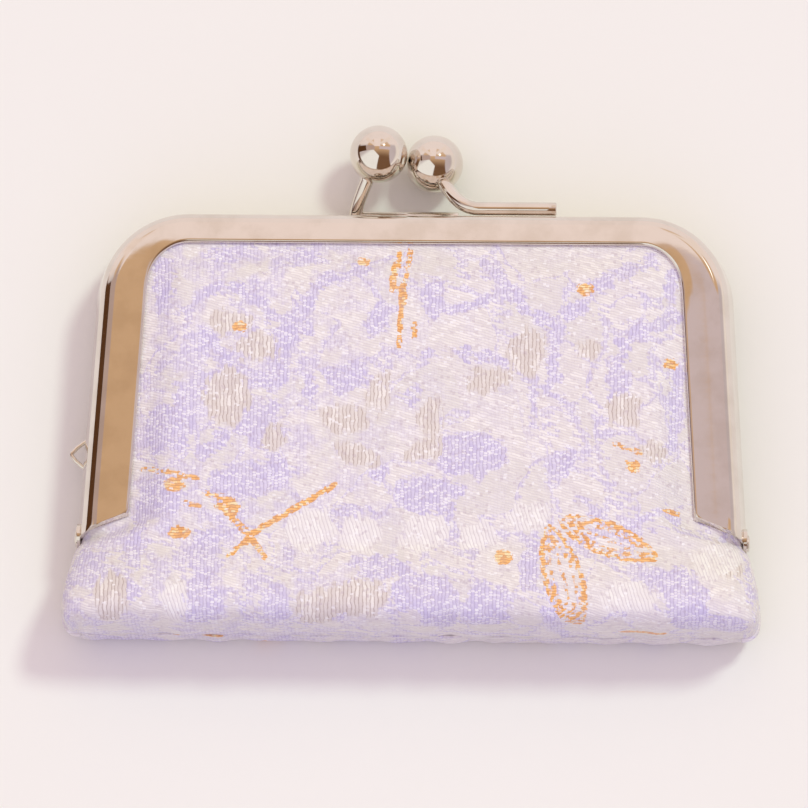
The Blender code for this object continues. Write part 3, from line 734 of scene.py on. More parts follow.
def rivet_shape(hand):
    """A shank with a domed head outside and a set head inside, spun about the hinge line."""
    inside = EAR_OUTER - 2 * SHEET - LAP - 0.05
    outside = EAR_OUTER + 0.05
    half = ((inside - 0.3, 0.0), (inside - 0.3, 0.7), (inside - 0.16, 0.95), (inside, 1.0), (inside, 0.5),
            (outside, 0.5), (outside, 0.98), (outside + 0.1, 1.0), (outside + 0.2, 0.86),
            (outside + 0.27, 0.6), (outside + 0.3, 0.3), (outside + 0.31, 0.0))
    bm = bmesh.new()
    verts = [bm.verts.new(place(hand * u, r, 0)) for u, r in half]
    edges = [bm.edges.new(pair) for pair in zip(verts, verts[1:])]
    bmesh.ops.spin(bm, geom=verts + edges, cent=place(0, 0, 0), axis=(1, 0, 0), dvec=(0, 0, 0),
                   angle=2 * math.pi, steps=40, use_merge=True, use_normal_flip=False, use_duplicate=False)
    bmesh.ops.remove_doubles(bm, verts=bm.verts, dist=1e-7)
    bmesh.ops.recalc_face_normals(bm, faces=bm.faces)
    return bm


for hand, name in ((-1, "left"), (1, "right")):
    piece = make_piece(f"hinge_rivet_{name}", rivet_shape(hand), NICKEL, (f"rivet_{name}",))
    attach(piece, "back_half")

front_metal = frame_half(1)
back_metal = frame_half(-1)
for hand in (-1, 1):
    ear(front_metal, hand, EAR_OUTER, 1, 1.1)
    ear(back_metal, hand, EAR_OUTER - SHEET - LAP, -1, 3.0)
for name, bm, body in (("front", front_metal, "front_half"), ("back", back_metal, "back_half")):
    piece = make_piece(f"{name}_channel", bm, NICKEL, (f"{name}_frame",), crisp_deg=20)
    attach(piece, body)
    print(piece.name, len(piece.data.polygons), "faces")

# %% [markdown]
# ## Clasp
#
# A kiss lock is two balls on bent rods. Each rod is soldered along the top bar by its foot, bends up and
# ends in its ball, and the balls cross when the purse is shut. A rod is a wire of constant thickness, so
# a ring is pulled along a bent line. The ball is a turned half circle with a short collar where the rod
# enters.

# %% Rods
BALL_RADIUS = 3.42
ROD_RADIUS = 0.8
CLASP_MIDDLE = -1.13
BALL_APART = 6.75
BALLS = {"back": (CLASP_MIDDLE - BALL_APART / 2, FRAME_TOP + 7.5, 1.2),
         "front": (CLASP_MIDDLE + BALL_APART / 2 - 0.2, FRAME_TOP + 6.95, -1.2)}
FEET = {"front": (16.6, 7.4, 4.4, 2.5), "back": (5.0, -7.0, -8.0, -2.5)}
ROD_SEAT = FRAME_TOP - FLARE * (2.5 - PARTING) / (4.5 - PARTING) + 0.2 + ROD_RADIUS


def bent_line(name):
    """The rod's middle line: foot, bend, ball."""
    far, near, beyond, depth = FEET[name]
    ball = Vector(BALLS[name])
    start, pull = Vector((near, ROD_SEAT, depth)), Vector((beyond, ROD_SEAT, depth))
    line = [Vector((far + (near - far) * t / 8, ROD_SEAT, depth)) for t in range(8)]
    for step in range(25):
        t = step / 24
        point = start * (1 - t) ** 2 + pull * 2 * t * (1 - t) + ball * t * t
        if (point - ball).length > BALL_RADIUS - 0.6:
            line.append(point)
    inward_way = (ball - pull).normalized()
    line.append(ball - inward_way * (BALL_RADIUS - 1.2))
    return line, inward_way


def wire(line, radius, sides, rim=0.0):
    """A round wire along a line of points, with its ends softened."""
    bm = bmesh.new()
    ways = [(line[min(i + 1, len(line) - 1)] - line[max(i - 1, 0)]).normalized() for i in range(len(line))]
    turn = ways[0].to_track_quat("Z", "Y")
    at_start = Matrix.Translation(place(*line[0])) @ turn.to_matrix().to_4x4()
    ring = bmesh.ops.create_circle(bm, cap_ends=True, segments=sides, radius=radius * MM,
                                   matrix=at_start)["verts"]
    first = ring[0].link_faces[0]
    loop = list(first.edges)
    for index in range(1, len(line)):
        made = bmesh.ops.extrude_edge_only(bm, edges=loop)["geom"]
        verts = {item for item in made if isinstance(item, bmesh.types.BMVert)}
        bmesh.ops.translate(bm, verts=list(verts), vec=place(*line[index]) - place(*line[index - 1]))
        bend = ways[index - 1].rotation_difference(ways[index]).to_matrix()
        bmesh.ops.rotate(bm, verts=list(verts), cent=place(*line[index]), matrix=bend)
        loop = list({e for v in verts for e in v.link_edges if e.other_vert(v) in verts})
    last = bmesh.ops.contextual_create(bm, geom=loop)["faces"]
    bmesh.ops.recalc_face_normals(bm, faces=bm.faces)
    if rim:
        bmesh.ops.bevel(bm, geom=list(first.edges) + [e for f in last for e in f.edges], offset=rim * MM,
                        offset_type="OFFSET", segments=3, profile=0.5, affect="EDGES", material=-1)
    return bm


for name in ("back", "front"):
    line, inward_way = bent_line(name)
    rod = wire(line, ROD_RADIUS, 28, 0.16)
    piece = make_piece(f"{name}_rod", rod, NICKEL, (f"{name}_clasp_rod",))
    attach(piece, f"{name}_half")
    print(piece.name, "points", len(line))

# %% Balls


def ball_shape(middle, inward_way):
    """Half a circle from the far pole to a small collar round the rod, spun about the rod's line."""
    bm = bmesh.new()
    collar = ROD_RADIUS + 0.1
    last = math.pi - math.asin(collar / BALL_RADIUS)
    angles = [last * i / 40 for i in range(41)]
    half = [(BALL_RADIUS * math.cos(angle), BALL_RADIUS * math.sin(angle)) for angle in angles]
    half += [(half[-1][0] - 0.16, collar - 0.02), (half[-1][0] - 0.2, ROD_RADIUS - 0.06)]
    turn = inward_way.to_track_quat("Z", "Y").to_matrix().to_4x4()
    where = Matrix.Translation(place(*middle)) @ turn
    verts = [bm.verts.new(where @ Vector((r * MM, 0, along * MM))) for along, r in half]
    edges = [bm.edges.new(pair) for pair in zip(verts, verts[1:])]
    bmesh.ops.spin(bm, geom=verts + edges, cent=place(*middle), axis=inward_way, dvec=(0, 0, 0),
                   angle=2 * math.pi, steps=72, use_merge=True, use_normal_flip=False, use_duplicate=False)
    bmesh.ops.remove_doubles(bm, verts=bm.verts, dist=1e-7)
    bmesh.ops.holes_fill(bm, edges=[e for e in bm.edges if e.is_boundary], sides=0)
    bmesh.ops.recalc_face_normals(bm, faces=bm.faces)
    return bm


for name in ("back", "front"):
    inward_way = bent_line(name)[1]
    piece = make_piece(f"{name}_ball", ball_shape(BALLS[name], inward_way), NICKEL,
                       (f"{name}_clasp_ball",), crisp_deg=60)
    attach(piece, f"{name}_half")

# %% [markdown]
# ## Chain eye
#
# A short wire is bent out of the left leg, so that a chain or a strap can be hooked on. Its feet go
# through two holes of the back channel.

# %% Eye
EYE_MIDDLE = 10.5
EYE_SPAN = 1.75
EYE_DEPTH = -2.0


def eye_line():
    outer = FLARE * (2.0 - PARTING) / (4.5 - PARTING)
    bends = ((EYE_SPAN, outer + 0.3), (EYE_SPAN, outer - 0.1), (EYE_SPAN * 0.82, outer - 0.65),
             (EYE_SPAN * 0.45, outer - 1.45), (0.12, outer - 2.0))
    half = [(EYE_MIDDLE + span, inset) for span, inset in bends]
    half += [(2 * EYE_MIDDLE - v, inset) for v, inset in reversed(half)]
    return [Vector((-(leg_u(v) - inset), v, EYE_DEPTH)) for v, inset in half]


piece = make_piece("wire_eye", wire(eye_line(), 0.26, 16, 0.04), NICKEL, ("chain_eye",))
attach(piece, "back_half")
print("eye line", len(eye_line()))

# %% [markdown]
# ## The bag's shape
#
# A purse like this is sewn from two panels that meet at the sides, with a boxed bottom. Each panel starts
# inside its channel, swells out of the metal, runs past the hinge, folds round the bottom's edge and
# meets the other on the floor of the bag. The shape is lofted: for each height there is a line across the
# panel, from the middle to the side seam. Inside the frame that line follows the channel, below it is a
# squarish oval, and in between the one turns into the other. A grid is then laid on these lines at even
# distances, so its yarns keep their spacing.

# %% Lines across a panel
PANEL_EDGE = 1.7
UNDER_FACE = 4.72
RIM = -2.0
SEAM = -0.5
# Height below the hinge, half-width, front, back, squareness
SECTIONS = np.array((
    (-2.0, 39.6, 7.6, -5.5, 4.0), (-4.5, 40.1, 8.5, -5.5, 5.0), (-7.0, 40.5, 9.15, -5.5, 6.5),
    (-8.8, 40.65, 9.25, -5.45, 7.5), (-10.15, 40.55, 8.8, -5.3, 8.5), (-10.95, 40.0, 7.7, -4.8, 9.0),
    (-11.25, 39.3, 6.3, -4.1, 9.0), (-11.3, 38.8, 5.2, -3.5, 9.0),
))


def section_at(t):
    """The lower bag's section at a place along the table, on a smooth curve through its rows."""
    last = len(SECTIONS) - 1
    t = min(max(t, 0.0), last - 1e-6)
    i = int(t)
    f = t - i
    a, b, c, d = (SECTIONS[min(max(k, 0), last)] for k in (i - 1, i, i + 1, i + 2))
    bend = 2 * a - 5 * b + 4 * c - d
    return 0.5 * (2 * b + (c - a) * f + bend * f * f + (3 * b - a - 3 * c + d) * f ** 3)


def swell(u, v, side):
    """How far the cloth stands out of the channel at a place inside the frame."""
    if u > corner_u and v > corner_v:
        _, share = inward(u, v)
        width = LEG_FACE + (TOP_FACE - LEG_FACE) * share
        inside = CORNER - math.hypot(u - corner_u, v - corner_v) - width
    else:
        inside = min((leg_u(v) - u) * math.cos(LEAN) - LEG_FACE, FRAME_TOP - v - TOP_FACE)
    lower = min(1.0, max(0.0, (FRAME_TOP - PANEL_EDGE - v) / (FRAME_TOP - PANEL_EDGE)))
    rise = 1.0 + 1.85 * lower if side > 0 else 0.55
    return rise * smooth_step((inside + 0.5) / 5.5)


def panel_half(v):
    """Half-width of a panel inside the frame."""
    radius = CORNER - PANEL_EDGE
    if v > corner_v + radius * math.sin(LEAN):
        return corner_u + math.sqrt(max(0.0, radius ** 2 - (v - corner_v) ** 2))
    return leg_u(v, PANEL_EDGE)


def line_in_frame(v, side, inset):
    """From the middle to the edge in the channel."""
    half = panel_half(v) - inset
    under = UNDER_FACE - inset
    line = [(u, v, side * (under + swell(u, v, side))) for u in np.linspace(0, half - 0.4, 60)]
    line += [(half - 0.12, v, side * (under - 0.1)), (half, v, side * (under - 0.4)),
             (half, v, side * (under - 1.3))]
    return np.array(line)


def seam_at(v):
    """Depth of the side seam, which keeps clear of the hinge's ears."""
    return SEAM - 1.3 * smooth_step((v + 5.5) / 2.5)


def line_below(section, side, inset, shrink=0.0):
    """From the middle to the side seam, on the lower bag; shrink draws the line over the floor."""
    v, half, front, back, square = section
    half -= inset
    seam = seam_at(v)
    if side > 0:
        reach = (front - inset - seam) * (1 - shrink)
        turn = np.linspace(0, math.pi / 2, 90)
        u = half * np.sin(turn) ** (2 / square)
        w = seam + reach * np.cos(turn) ** (2 / square)
    else:
        reach = (back + inset - seam) * (1 - shrink)
        edge = min(3.5, abs(reach))
        turn = np.linspace(0, math.pi / 2, 24)
        u = np.concatenate((np.linspace(0, half - edge, 40), half - edge + edge * np.sin(turn), [half]))
        w = np.concatenate((np.full(40, seam + reach), seam + reach + edge * (1 - np.cos(turn)), [seam]))
    return np.stack((u, np.full(len(u), v), w), axis=1)


def evenly(line, count):
    """A line's points at even distances, and its length."""
    steps = np.linalg.norm(np.diff(line, axis=0), axis=1)
    run = np.concatenate(([0], np.cumsum(steps)))
    at = np.linspace(0, run[-1], count)
    return np.stack([np.interp(at, run, line[:, k]) for k in range(3)], axis=1), run[-1]


def line_at(t, side, inset, count):
    """Line number t of a panel: 0 to 1 inside the frame, then the sections, then the floor."""
    last = len(SECTIONS) - 1
    floor_lift = inset * 1.6
    if t < 1:
        v = (FRAME_TOP - PANEL_EDGE - inset) + (RIM - (FRAME_TOP - PANEL_EDGE - inset)) * t
        section = np.array((v, *SECTIONS[0][1:]))
    else:
        section = section_at(t - 1).copy()
        v = section[0]
        section[0] = v + floor_lift * smooth_step((-v - 6) / 5)
    below, below_length = evenly(line_below(section, side, inset, max(0.0, t - 1 - last)), count)
    share = smooth_step((1.2 - v) / 3.4)
    if share == 1:
        return below, below_length
    inside, inside_length = evenly(line_in_frame(v, side, inset), count)
    return inside + (below - inside) * share, inside_length + (below_length - inside_length) * share


print("sections", len(SECTIONS), "half-width at the hinge", round(panel_half(0), 2))

# %% [markdown]
# The grid's rows are spread at even distances down the middle of the panel. The UV map stores millimetres
# along the cloth, and a little noise unsettles the surface where nothing holds it: cloth below the hinge
# is soft, and the folded bottom edge puckers at its stitches.

# %% A panel of cloth
CLOTH_STEP = 0.45


def unsettled(point, side):
    """Soft unevenness of the cloth at a place, in millimetres."""
    u, v, w = point
    free = smooth_step((-1 - v) / 6)
    wave = noise.noise(Vector((u * 0.16, v * 0.3, w * 0.3 + side * 9)))
    small = noise.noise(Vector((u * 0.45, v * 0.5, w * 0.5 + 3)))
    pucker = noise.noise(Vector((u * 0.33, 4.0, side))) * smooth_step((-v - 8.5) / 2)
    return wave * (0.05 + 0.2 * free) + small * 0.07 * (0.4 + free), pucker * 0.3


def cloth_panel(side, inset, step):
    """A grid laid on a panel's lines, with its measure in the UV map."""
    last = len(SECTIONS) - 1
    trial = np.concatenate((np.linspace(0, 1, 160, endpoint=False),
                            np.linspace(1, 1 + last, 160, endpoint=False),
                            np.linspace(1 + last, 2 + last, 40)))
    middle = np.array([line_at(t, side, inset, 2)[0][0] for t in trial])
    run = np.concatenate(([0], np.cumsum(np.linalg.norm(np.diff(middle, axis=0), axis=1))))
    rows = int(run[-1] / step)
    columns = int(47 / step)
    bm = bmesh.new()
    bmesh.ops.create_grid(bm, x_segments=2 * columns, y_segments=rows, size=1.0)
    lines = []
    for row in range(rows + 1):
        reach = run[-1] * row / rows
        points, length = line_at(float(np.interp(reach, run, trial)), side, inset, columns + 1)
        lines.append((points, length, FRAME_TOP - PANEL_EDGE - inset - reach))
    measure = {}
    for vert in bm.verts:
        column = round((vert.co.x + 1) * columns) - columns
        row = rows - round((vert.co.y + 1) / 2 * rows)
        points, length, along = lines[row]
        u, v, w = points[abs(column)]
        hand = math.copysign(1, column)
        out, pucker = unsettled((hand * u, v, w), side)
        away = min(1.0, (columns - abs(column)) / 6)
        w = w + side * out * away
        vert.co = place(hand * u, v + pucker * away, w if side > 0 else max(w, -HALF_DEPTH + 0.02))
        measure[vert.index] = (hand * length * abs(column) / columns, along)
    cloth_map = bm.loops.layers.uv.new("cloth mm")
    for face in bm.faces:
        for loop in face.loops:
            loop[cloth_map].uv = measure[loop.vert.index]
    if side < 0:
        bmesh.ops.reverse_faces(bm, faces=bm.faces)
    return bm, np.array([measure[i] for i in range(len(bm.verts))])


# %% [markdown]
# ## The brocade's motifs
#
# The pattern is of a traditional kind: petals and leaves strewn on a lavender ground, a few of them
# ribbed or glossy, with sprigs and dots of gold. A weaver's draft lists what lies where, so each motif is
# a short row in a table: its place, its half sizes and its turn, all in millimetres on the cloth. The
# distance to the nearest motif of a kind is stored at each corner of the mesh, and a little noise keeps
# the outlines from being too regular.

# %% Draft of the ground and of the petals
# Bands: from u, v to u, v, half-width
GROUND_BANDS = (
    (-26.8, 25.9, -22.2, 29.9, 0.53), (-22.2, 29.9, -16.2, 25.3, 0.65), (-16.2, 25.3, -12.7, 24.1, 0.82),
    (-14.2, 23.8, -11.3, 29.0, 0.82), (-11.3, 29.0, -5.1, 31.7, 0.76), (-14.8, 23.8, -16.2, 17.7, 1.41),
    (-24.5, 22.9, -21.2, 18.9, 1.06), (-21.2, 18.3, -15.6, 17.7, 1.06), (-16.7, 14.0, -24.3, 8.6, 0.94),
    (-26.7, 15.3, -27.3, 9.8, 1.29), (-31.9, 2.5, -32.4, -4.5, 0.94), (2.0, 21.1, 9.7, 20.5, 0.53),
    (9.7, 20.5, 14.4, 17.6, 0.53), (14.4, 17.4, 18.6, 14.4, 0.29), (14.2, 17.1, 14.2, 12.2, 0.29),
    (8.4, 32.0, 13.2, 26.2, 0.82), (13.2, 26.2, 17.3, 23.8, 0.82), (17.3, 23.8, 20.5, 28.1, 0.76),
    (20.5, 28.7, 27.8, 32.3, 0.82), (16.7, 23.5, 16.2, 18.3, 0.76), (3.7, 26.2, 8.4, 27.2, 0.41),
    (24.7, 22.3, 31.1, 26.2, 0.82), (15.9, -7.6, 18.3, -20.4, 0.76), (-8.3, 1.8, -3.6, 1.2, 0.59),
    (19.9, 3.4, 22.0, 1.5, 0.53), (25.2, 0.0, 29.3, 2.5, 0.35), (29.3, 2.5, 32.3, 0.6, 0.35),
    (-10.1, 2.2, -9.5, -2.4, 0.35), (4.6, 0.6, 5.2, -1.8, 0.53), (-14.8, -3.1, -13.0, -5.1, 0.53),
)
# Patches: u, v, half-width, half-height, turn in degrees
GROUND_PATCHES = (
    (-29.5, 29.6, 1.3, 3.0, 0), (-22.2, 33.0, 2.6, 0.7, 0), (-13.4, 32.7, 2.4, 1.0, 0),
    (-7.9, 17.7, 2.5, 1.7, 0), (-3.9, 25.0, 1.3, 2.0, -30), (2.0, 27.5, 1.3, 2.3, 0),
    (-0.3, 15.6, 0.9, 1.2, 0), (-29.6, 11.6, 2.2, 3.0, 0), (-19.0, 5.5, 5.0, 2.2, 12),
    (-29.5, 3.4, 2.8, 2.6, 0), (-23.8, 17.1, 2.9, 1.6, 0), (-16.7, 11.0, 2.1, 2.4, 0),
    (24.1, 18.0, 1.4, 3.0, 0), (31.0, 14.4, 1.0, 4.9, 0), (30.5, 29.9, 0.9, 1.5, 0),
    (6.6, 8.6, 4.7, 2.9, 0), (1.9, 3.7, 4.2, 2.3, 0), (17.5, 7.6, 2.5, 1.3, 30), (-3.7, 6.1, 1.1, 1.1, 0),
    (-3.3, -5.4, 3.5, 1.6, 0), (0.6, -8.5, 2.9, 2.2, 0), (8.8, -10.4, 2.8, 3.2, 0),
    (14.1, -5.1, 1.4, 3.7, 0), (30.3, -7.0, 3.5, 2.0, 0), (32.4, -10.8, 2.4, 4.3, 0),
    (40.1, -6.4, 0.7, 3.7, 0), (36.5, -12.9, 2.9, 2.2, 0), (-37.1, -6.4, 4.1, 2.0, 0),
    (-33.5, -8.5, 2.4, 1.6, 0), (-37.7, -3.8, 2.9, 1.4, 0), (-24.1, -10.1, 2.2, 3.6, 0),
    (-15.3, -10.4, 1.6, 2.4, 0), (-23.6, -4.5, 1.8, 4.0, 0), (-12.0, 17.1, 0.9, 1.8, 0),
    (3.6, -10.4, 2.4, 4.0, 0),
)
SILVER_PETALS = (
    (-8.1, 12.8, 2.7, 1.6, -10), (-4.0, 16.0, 1.3, 2.7, 0), (2.1, 13.3, 1.4, 2.4, 10),
    (-6.5, 8.6, 2.6, 1.3, -18), (1.5, 9.2, 2.2, 1.1, 15), (-18.3, 21.7, 2.7, 1.8, 0),
    (-21.7, 15.3, 2.6, 3.4, 0), (13.3, 21.1, 2.0, 2.8, 0), (9.2, 17.7, 2.5, 1.5, 12),
    (24.6, 14.0, 2.0, 2.1, 0), (20.3, 21.4, 1.4, 1.1, 0), (28.2, 9.2, 1.5, 1.2, 0),
    (-16.1, 10.4, 1.1, 1.5, 0), (-34.7, -9.5, 2.0, 3.0, 0), (-5.9, -9.2, 3.5, 2.2, 0),
    (-10.9, -10.8, 2.2, 2.6, 0), (37.0, -3.8, 1.8, 2.7, 0), (-21.5, 24.4, 2.4, 1.5, 0),
)
SHINING_PETALS = (
    (-11.8, -0.6, 2.9, 2.7, 30), (-5.8, -1.2, 2.2, 2.3, 30), (1.7, -0.9, 2.9, 2.1, 20),
    (7.7, -1.3, 2.2, 1.7, 0), (13.7, 1.2, 2.5, 1.7, 20), (35.8, -3.8, 3.6, 2.3, 30),
    (-27.3, -10.1, 1.5, 2.8, 0), (25.3, -8.8, 3.5, 1.8, 0),
)

# %% Draft of the gold
GOLD_STROKES = (
    (-1.8, 33.9, -1.8, 31.7, 0.24), (-2.3, 31.7, -2.5, 28.7, 0.41), (-1.0, 29.6, -0.5, 33.9, 0.24),
    (-1.3, 29.0, -1.3, 26.9, 0.47), (-1.4, 26.9, -1.7, 21.5, 0.26), (0.1, 24.5, 0.1, 22.9, 0.26),
    (-32.0, 7.0, -24.9, 5.5, 0.26), (-24.1, 3.7, -21.0, 3.1, 0.29), (-22.5, 2.2, -20.7, 1.2, 0.35),
    (-21.9, 2.0, -18.6, -1.5, 0.35), (-18.6, -1.5, -21.2, -4.1, 0.29), (-18.6, -1.5, -16.8, -4.3, 0.35),
    (-18.6, -1.2, -8.8, 4.9, 0.32), (23.6, 10.1, 26.9, 8.9, 0.24), (25.1, 7.8, 26.2, 6.7, 0.29),
    (29.6, 2.2, 31.7, 2.0, 0.29), (24.8, -16.6, 29.5, -16.8, 0.5), (-26.3, 2.5, -24.5, 2.2, 0.24),
)
GOLD_DOTS = (
    (-6.0, 32.2, 0.8, 0.6, 0), (-20.4, 24.0, 0.9, 0.7, 0), (20.1, 28.8, 1.0, 0.8, 0),
    (30.4, 20.0, 0.9, 0.7, 0), (10.8, -3.9, 1.1, 1.0, 0), (-27.0, -1.0, 1.3, 0.8, 0),
    (-27.7, 4.7, 1.3, 0.8, 0), (-21.0, 2.0, 1.1, 1.0, 0), (25.9, 7.3, 0.8, 0.7, 0),
)
# Leaves: from tip to tip, half-width
GOLD_LEAVES = ((16.0, 0.2, 19.7, -13.4, 2.2), (17.2, 0.9, 28.9, -3.9, 2.0))
motif_tables = (GROUND_BANDS, GROUND_PATCHES, SILVER_PETALS, SHINING_PETALS, GOLD_STROKES, GOLD_DOTS)
print("motifs", sum(map(len, motif_tables)))

# %% Distances to the motifs


def to_patches(at, rows):
    """Distance from each place to the nearest patch, negative inside."""
    nearest = np.full(len(at), 99.0)
    for u, v, half_u, half_v, turn in rows:
        a = math.radians(turn)
        x = (at[:, 0] - u) * math.cos(a) + (at[:, 1] - v) * math.sin(a)
        y = (at[:, 1] - v) * math.cos(a) - (at[:, 0] - u) * math.sin(a)
        nearest = np.minimum(nearest, (np.hypot(x / half_u, y / half_v) - 1) * min(half_u, half_v))
    return nearest


def to_bands(at, rows):
    """Distance from each place to the nearest band, negative inside."""
    nearest = np.full(len(at), 99.0)
    for u0, v0, u1, v1, width in rows:
        way = np.array((u1 - u0, v1 - v0))
        off = at - (u0, v0)
        share = np.clip(off @ way / (way @ way), 0, 1)
        nearest = np.minimum(nearest, np.linalg.norm(off - share[:, None] * way, axis=1) - width)
    return nearest


def to_leaves(at, rows):
    """Distance from each place to the nearest leaf's edge, and to its midrib."""
    edge, rib = np.full(len(at), 99.0), np.full(len(at), 99.0)
    for u0, v0, u1, v1, half in rows:
        way = np.array((u1 - u0, v1 - v0))
        length = np.linalg.norm(way)
        off = at - (u0, v0)
        share = off @ way / length ** 2
        aside = np.abs(off[:, 0] * way[1] - off[:, 1] * way[0]) / length
        inside = np.clip(share, 0, 1)
        beyond = np.abs(share - inside) * length
        edge = np.minimum(edge, aside - half * (4 * inside * (1 - inside)) ** 0.7 + beyond)
        rib = np.minimum(rib, aside + 2 * beyond)
    return edge, rib


def ragged(at, size, seed):
    """Noise in millimetres that loosens an outline."""
    return np.array([noise.noise(Vector((u * 0.55, v * 0.55, seed))) for u, v in at]) * size


def motif_distances(at):
    ground = np.minimum(to_bands(at, GROUND_BANDS), to_patches(at, GROUND_PATCHES)) + ragged(at, 1.0, 1.0)
    edge, rib = to_leaves(at, GOLD_LEAVES)
    veins = np.maximum(np.minimum(np.abs(edge + 0.95) - 0.14, rib - 0.14), edge)
    outline = np.minimum(np.abs(edge + 0.15) - 0.26, veins)
    gold = np.minimum(np.minimum(to_bands(at, GOLD_STROKES), to_patches(at, GOLD_DOTS)), outline)
    return {
        "white": -ground,
        "silver": to_patches(at, SILVER_PETALS) + ragged(at, 0.6, 5.0),
        "shine": to_patches(at, SHINING_PETALS) + ragged(at, 0.6, 9.0),
        "gold": gold,
    }


def store_motifs(piece, at):
    for name, values in motif_distances(at).items():
        layer = piece.data.attributes.new(name, "FLOAT", "POINT")
        layer.data.foreach_set("value", values.astype(np.float32))


# %% [markdown]
# ## Brocade panels
#
# The front panel turns with the front half above the hinge and stays with the bag below it, so it is
# blended between the two bodies. The back panel stays with the back half. A thin wall is given to both at
# the end.

# %% Front and back brocade


def give_wall(piece, thickness):
    wall = piece.modifiers.new("cloth wall", "SOLIDIFY")
    wall.thickness = thickness * MM
    wall.offset = -1.0
    wall.use_even_offset = False


CLOTH_WALL = 0.35
LINING_WALL = 0.25
LINING_INSET = 1.35
LINING_STEP = 0.9
FOLD_START = place(0, 1.0, 0)
FOLD_END = place(0, -8.5, 0)
for side, name, nodes in ((1, "front", ("front_cover", "lower_cover")), (-1, "back", ("back_cover",))):
    bm, at = cloth_panel(side, 0.0, CLOTH_STEP)
    piece = make_piece(f"brocade_{name}", bm, BROCADE, nodes, crisp_deg=80)
    store_motifs(piece, at if side > 0 else np.stack((-at[:, 0] * 0.97 + 3.0, at[:, 1] - 1.0), axis=1))
    if side > 0:
        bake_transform(piece, "front_half", "back_half", start=FOLD_START, end=FOLD_END)
    else:
        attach(piece, "back_half")
    give_wall(piece, CLOTH_WALL)
    print(piece.name, len(piece.data.vertices), "corners")

# %% Front and back lining
for side, name, nodes in ((1, "front", ("front_lining",)), (-1, "back", ("back_lining", "lower_lining"))):
    bm, at = cloth_panel(side, LINING_INSET, LINING_STEP)
    piece = make_piece(f"lining_{name}", bm, SATIN, nodes, crisp_deg=80)
    if side > 0:
        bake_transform(piece, "front_half", "back_half", start=FOLD_START, end=FOLD_END)
    else:
        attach(piece, "back_half")
    give_wall(piece, LINING_WALL)

# %% [markdown]
# ## Side seams
#
# The panels are sewn together at the sides and turned, which leaves a slightly raised seam. At the
# bottom, where both folds meet, the layers pile up into a small bump.

# %% Seams
# Where the seam lies across the brocade's measure
SEAM_MEASURE = 44


def side_seam(hand):
    line = []
    for step in range(26):
        t = 0.35 + (len(SECTIONS) - 1.4) * step / 25
        v, half, *_ = section_at(t)
        bump = 0.12 * noise.noise(Vector((v * 0.8, hand, 2.0)))
        line.append(Vector((hand * (half - 0.18 + bump), v, seam_at(v))))
    bm = wire(line, 0.42, 14, 0.12)
    layer = bm.loops.layers.uv.new("cloth mm")
    for face in bm.faces:
        for loop in face.loops:
            co = loop.vert.co / MM
            loop[layer].uv = (hand * SEAM_MEASURE + co.z - MIDDLE_Z, co.y - HINGE_Y)
    return bm


for hand, name in ((-1, "left"), (1, "right")):
    piece = make_piece(f"side_seam_{name}", side_seam(hand), BROCADE, crisp_deg=80)
    at = np.array([(hand * SEAM_MEASURE, v.co.y / MM - HINGE_Y) for v in piece.data.vertices])
    store_motifs(piece, at)
    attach(piece, "back_half")

# %% [markdown]
# ## Stage, light and camera
#
# The purse lies on pale paper. A lamp stands high at the right and beyond the clasp, and the rest of the
# room gives soft light, violet from the near side and rosy from beyond the clasp. Polished metal shows
# mostly the room, so the world has surroundings that only reflections see: a brown ceiling with pale and
# dark cards and one small bright spot, a pale wall beyond the clasp, a mauve wall at the right and a
# window at the left.

# %% Floor
bm = bmesh.new()
bmesh.ops.create_grid(bm, x_segments=2, y_segments=2, size=1.5)
mesh = bpy.data.meshes.new("paper_floor")
bm.to_mesh(mesh)
bm.free()
floor = bpy.data.objects.new("paper_floor", mesh)
bpy.context.scene.collection.objects.link(floor)
paper = bpy.data.materials.new("pale paper")
paper.use_nodes = True
shader = paper.node_tree.nodes["Principled BSDF"]
shader.inputs["Base Color"].default_value = (0.856, 0.857, 0.728, 1.0)
shader.inputs["Roughness"].default_value = 0.9
shader.inputs["Specular IOR Level"].default_value = 0.1
mesh.materials.append(paper)

# %% Lamp
lamp = bpy.data.lights.new("key", "SUN")
lamp.energy = 1.05
lamp.angle = 0.18
lamp.color = (0.80, 0.965, 0.93)
key = bpy.data.objects.new("key", lamp)
bpy.context.scene.collection.objects.link(key)
key.rotation_mode = "QUATERNION"
key.rotation_quaternion = Vector((0.42, 0.35, 0.84)).to_track_quat("Z", "Y")
key.visible_glossy = False

# %% Room that polished metal mirrors
# Middle and half-size of each card in the flat view straight up, softness of its edge, turn and colour
ROOM_CARDS = (
    ((-0.485, 0.22), (0.245, 0.16), 0.015, 0.0, (0.54, 0.40, 0.355)),
    ((-0.87, 0.22), (0.13, 0.16), 0.015, 0.0, (0.11, 0.045, 0.018)),
    ((0.40, 0.205), (0.34, 0.10), 0.012, 0.0, (0.70, 0.575, 0.59)),
    ((-0.07, 0.55), (0.20, 0.245), 0.015, 0.0, (1.0, 0.85, 0.80)),
    ((-0.42, 0.57), (0.26, 0.09), 0.03, -0.69, (0.97, 0.80, 0.72)),
    ((0.36, 0.62), (0.26, 0.10), 0.03, 0.69, (0.97, 0.82, 0.74)),
    ((0.36, 0.41), (0.055, 0.055), 0.03, 0.8, (2.5, 2.4, 2.3)),
)
world = bpy.data.worlds.new("room")
world.use_nodes = True
bpy.context.scene.world = world
kit = Nodes(world.node_tree)
toward = kit.add("ShaderNodeTexCoord").outputs["Generated"]
way = kit.add("ShaderNodeSeparateXYZ", {"Vector": toward}).outputs


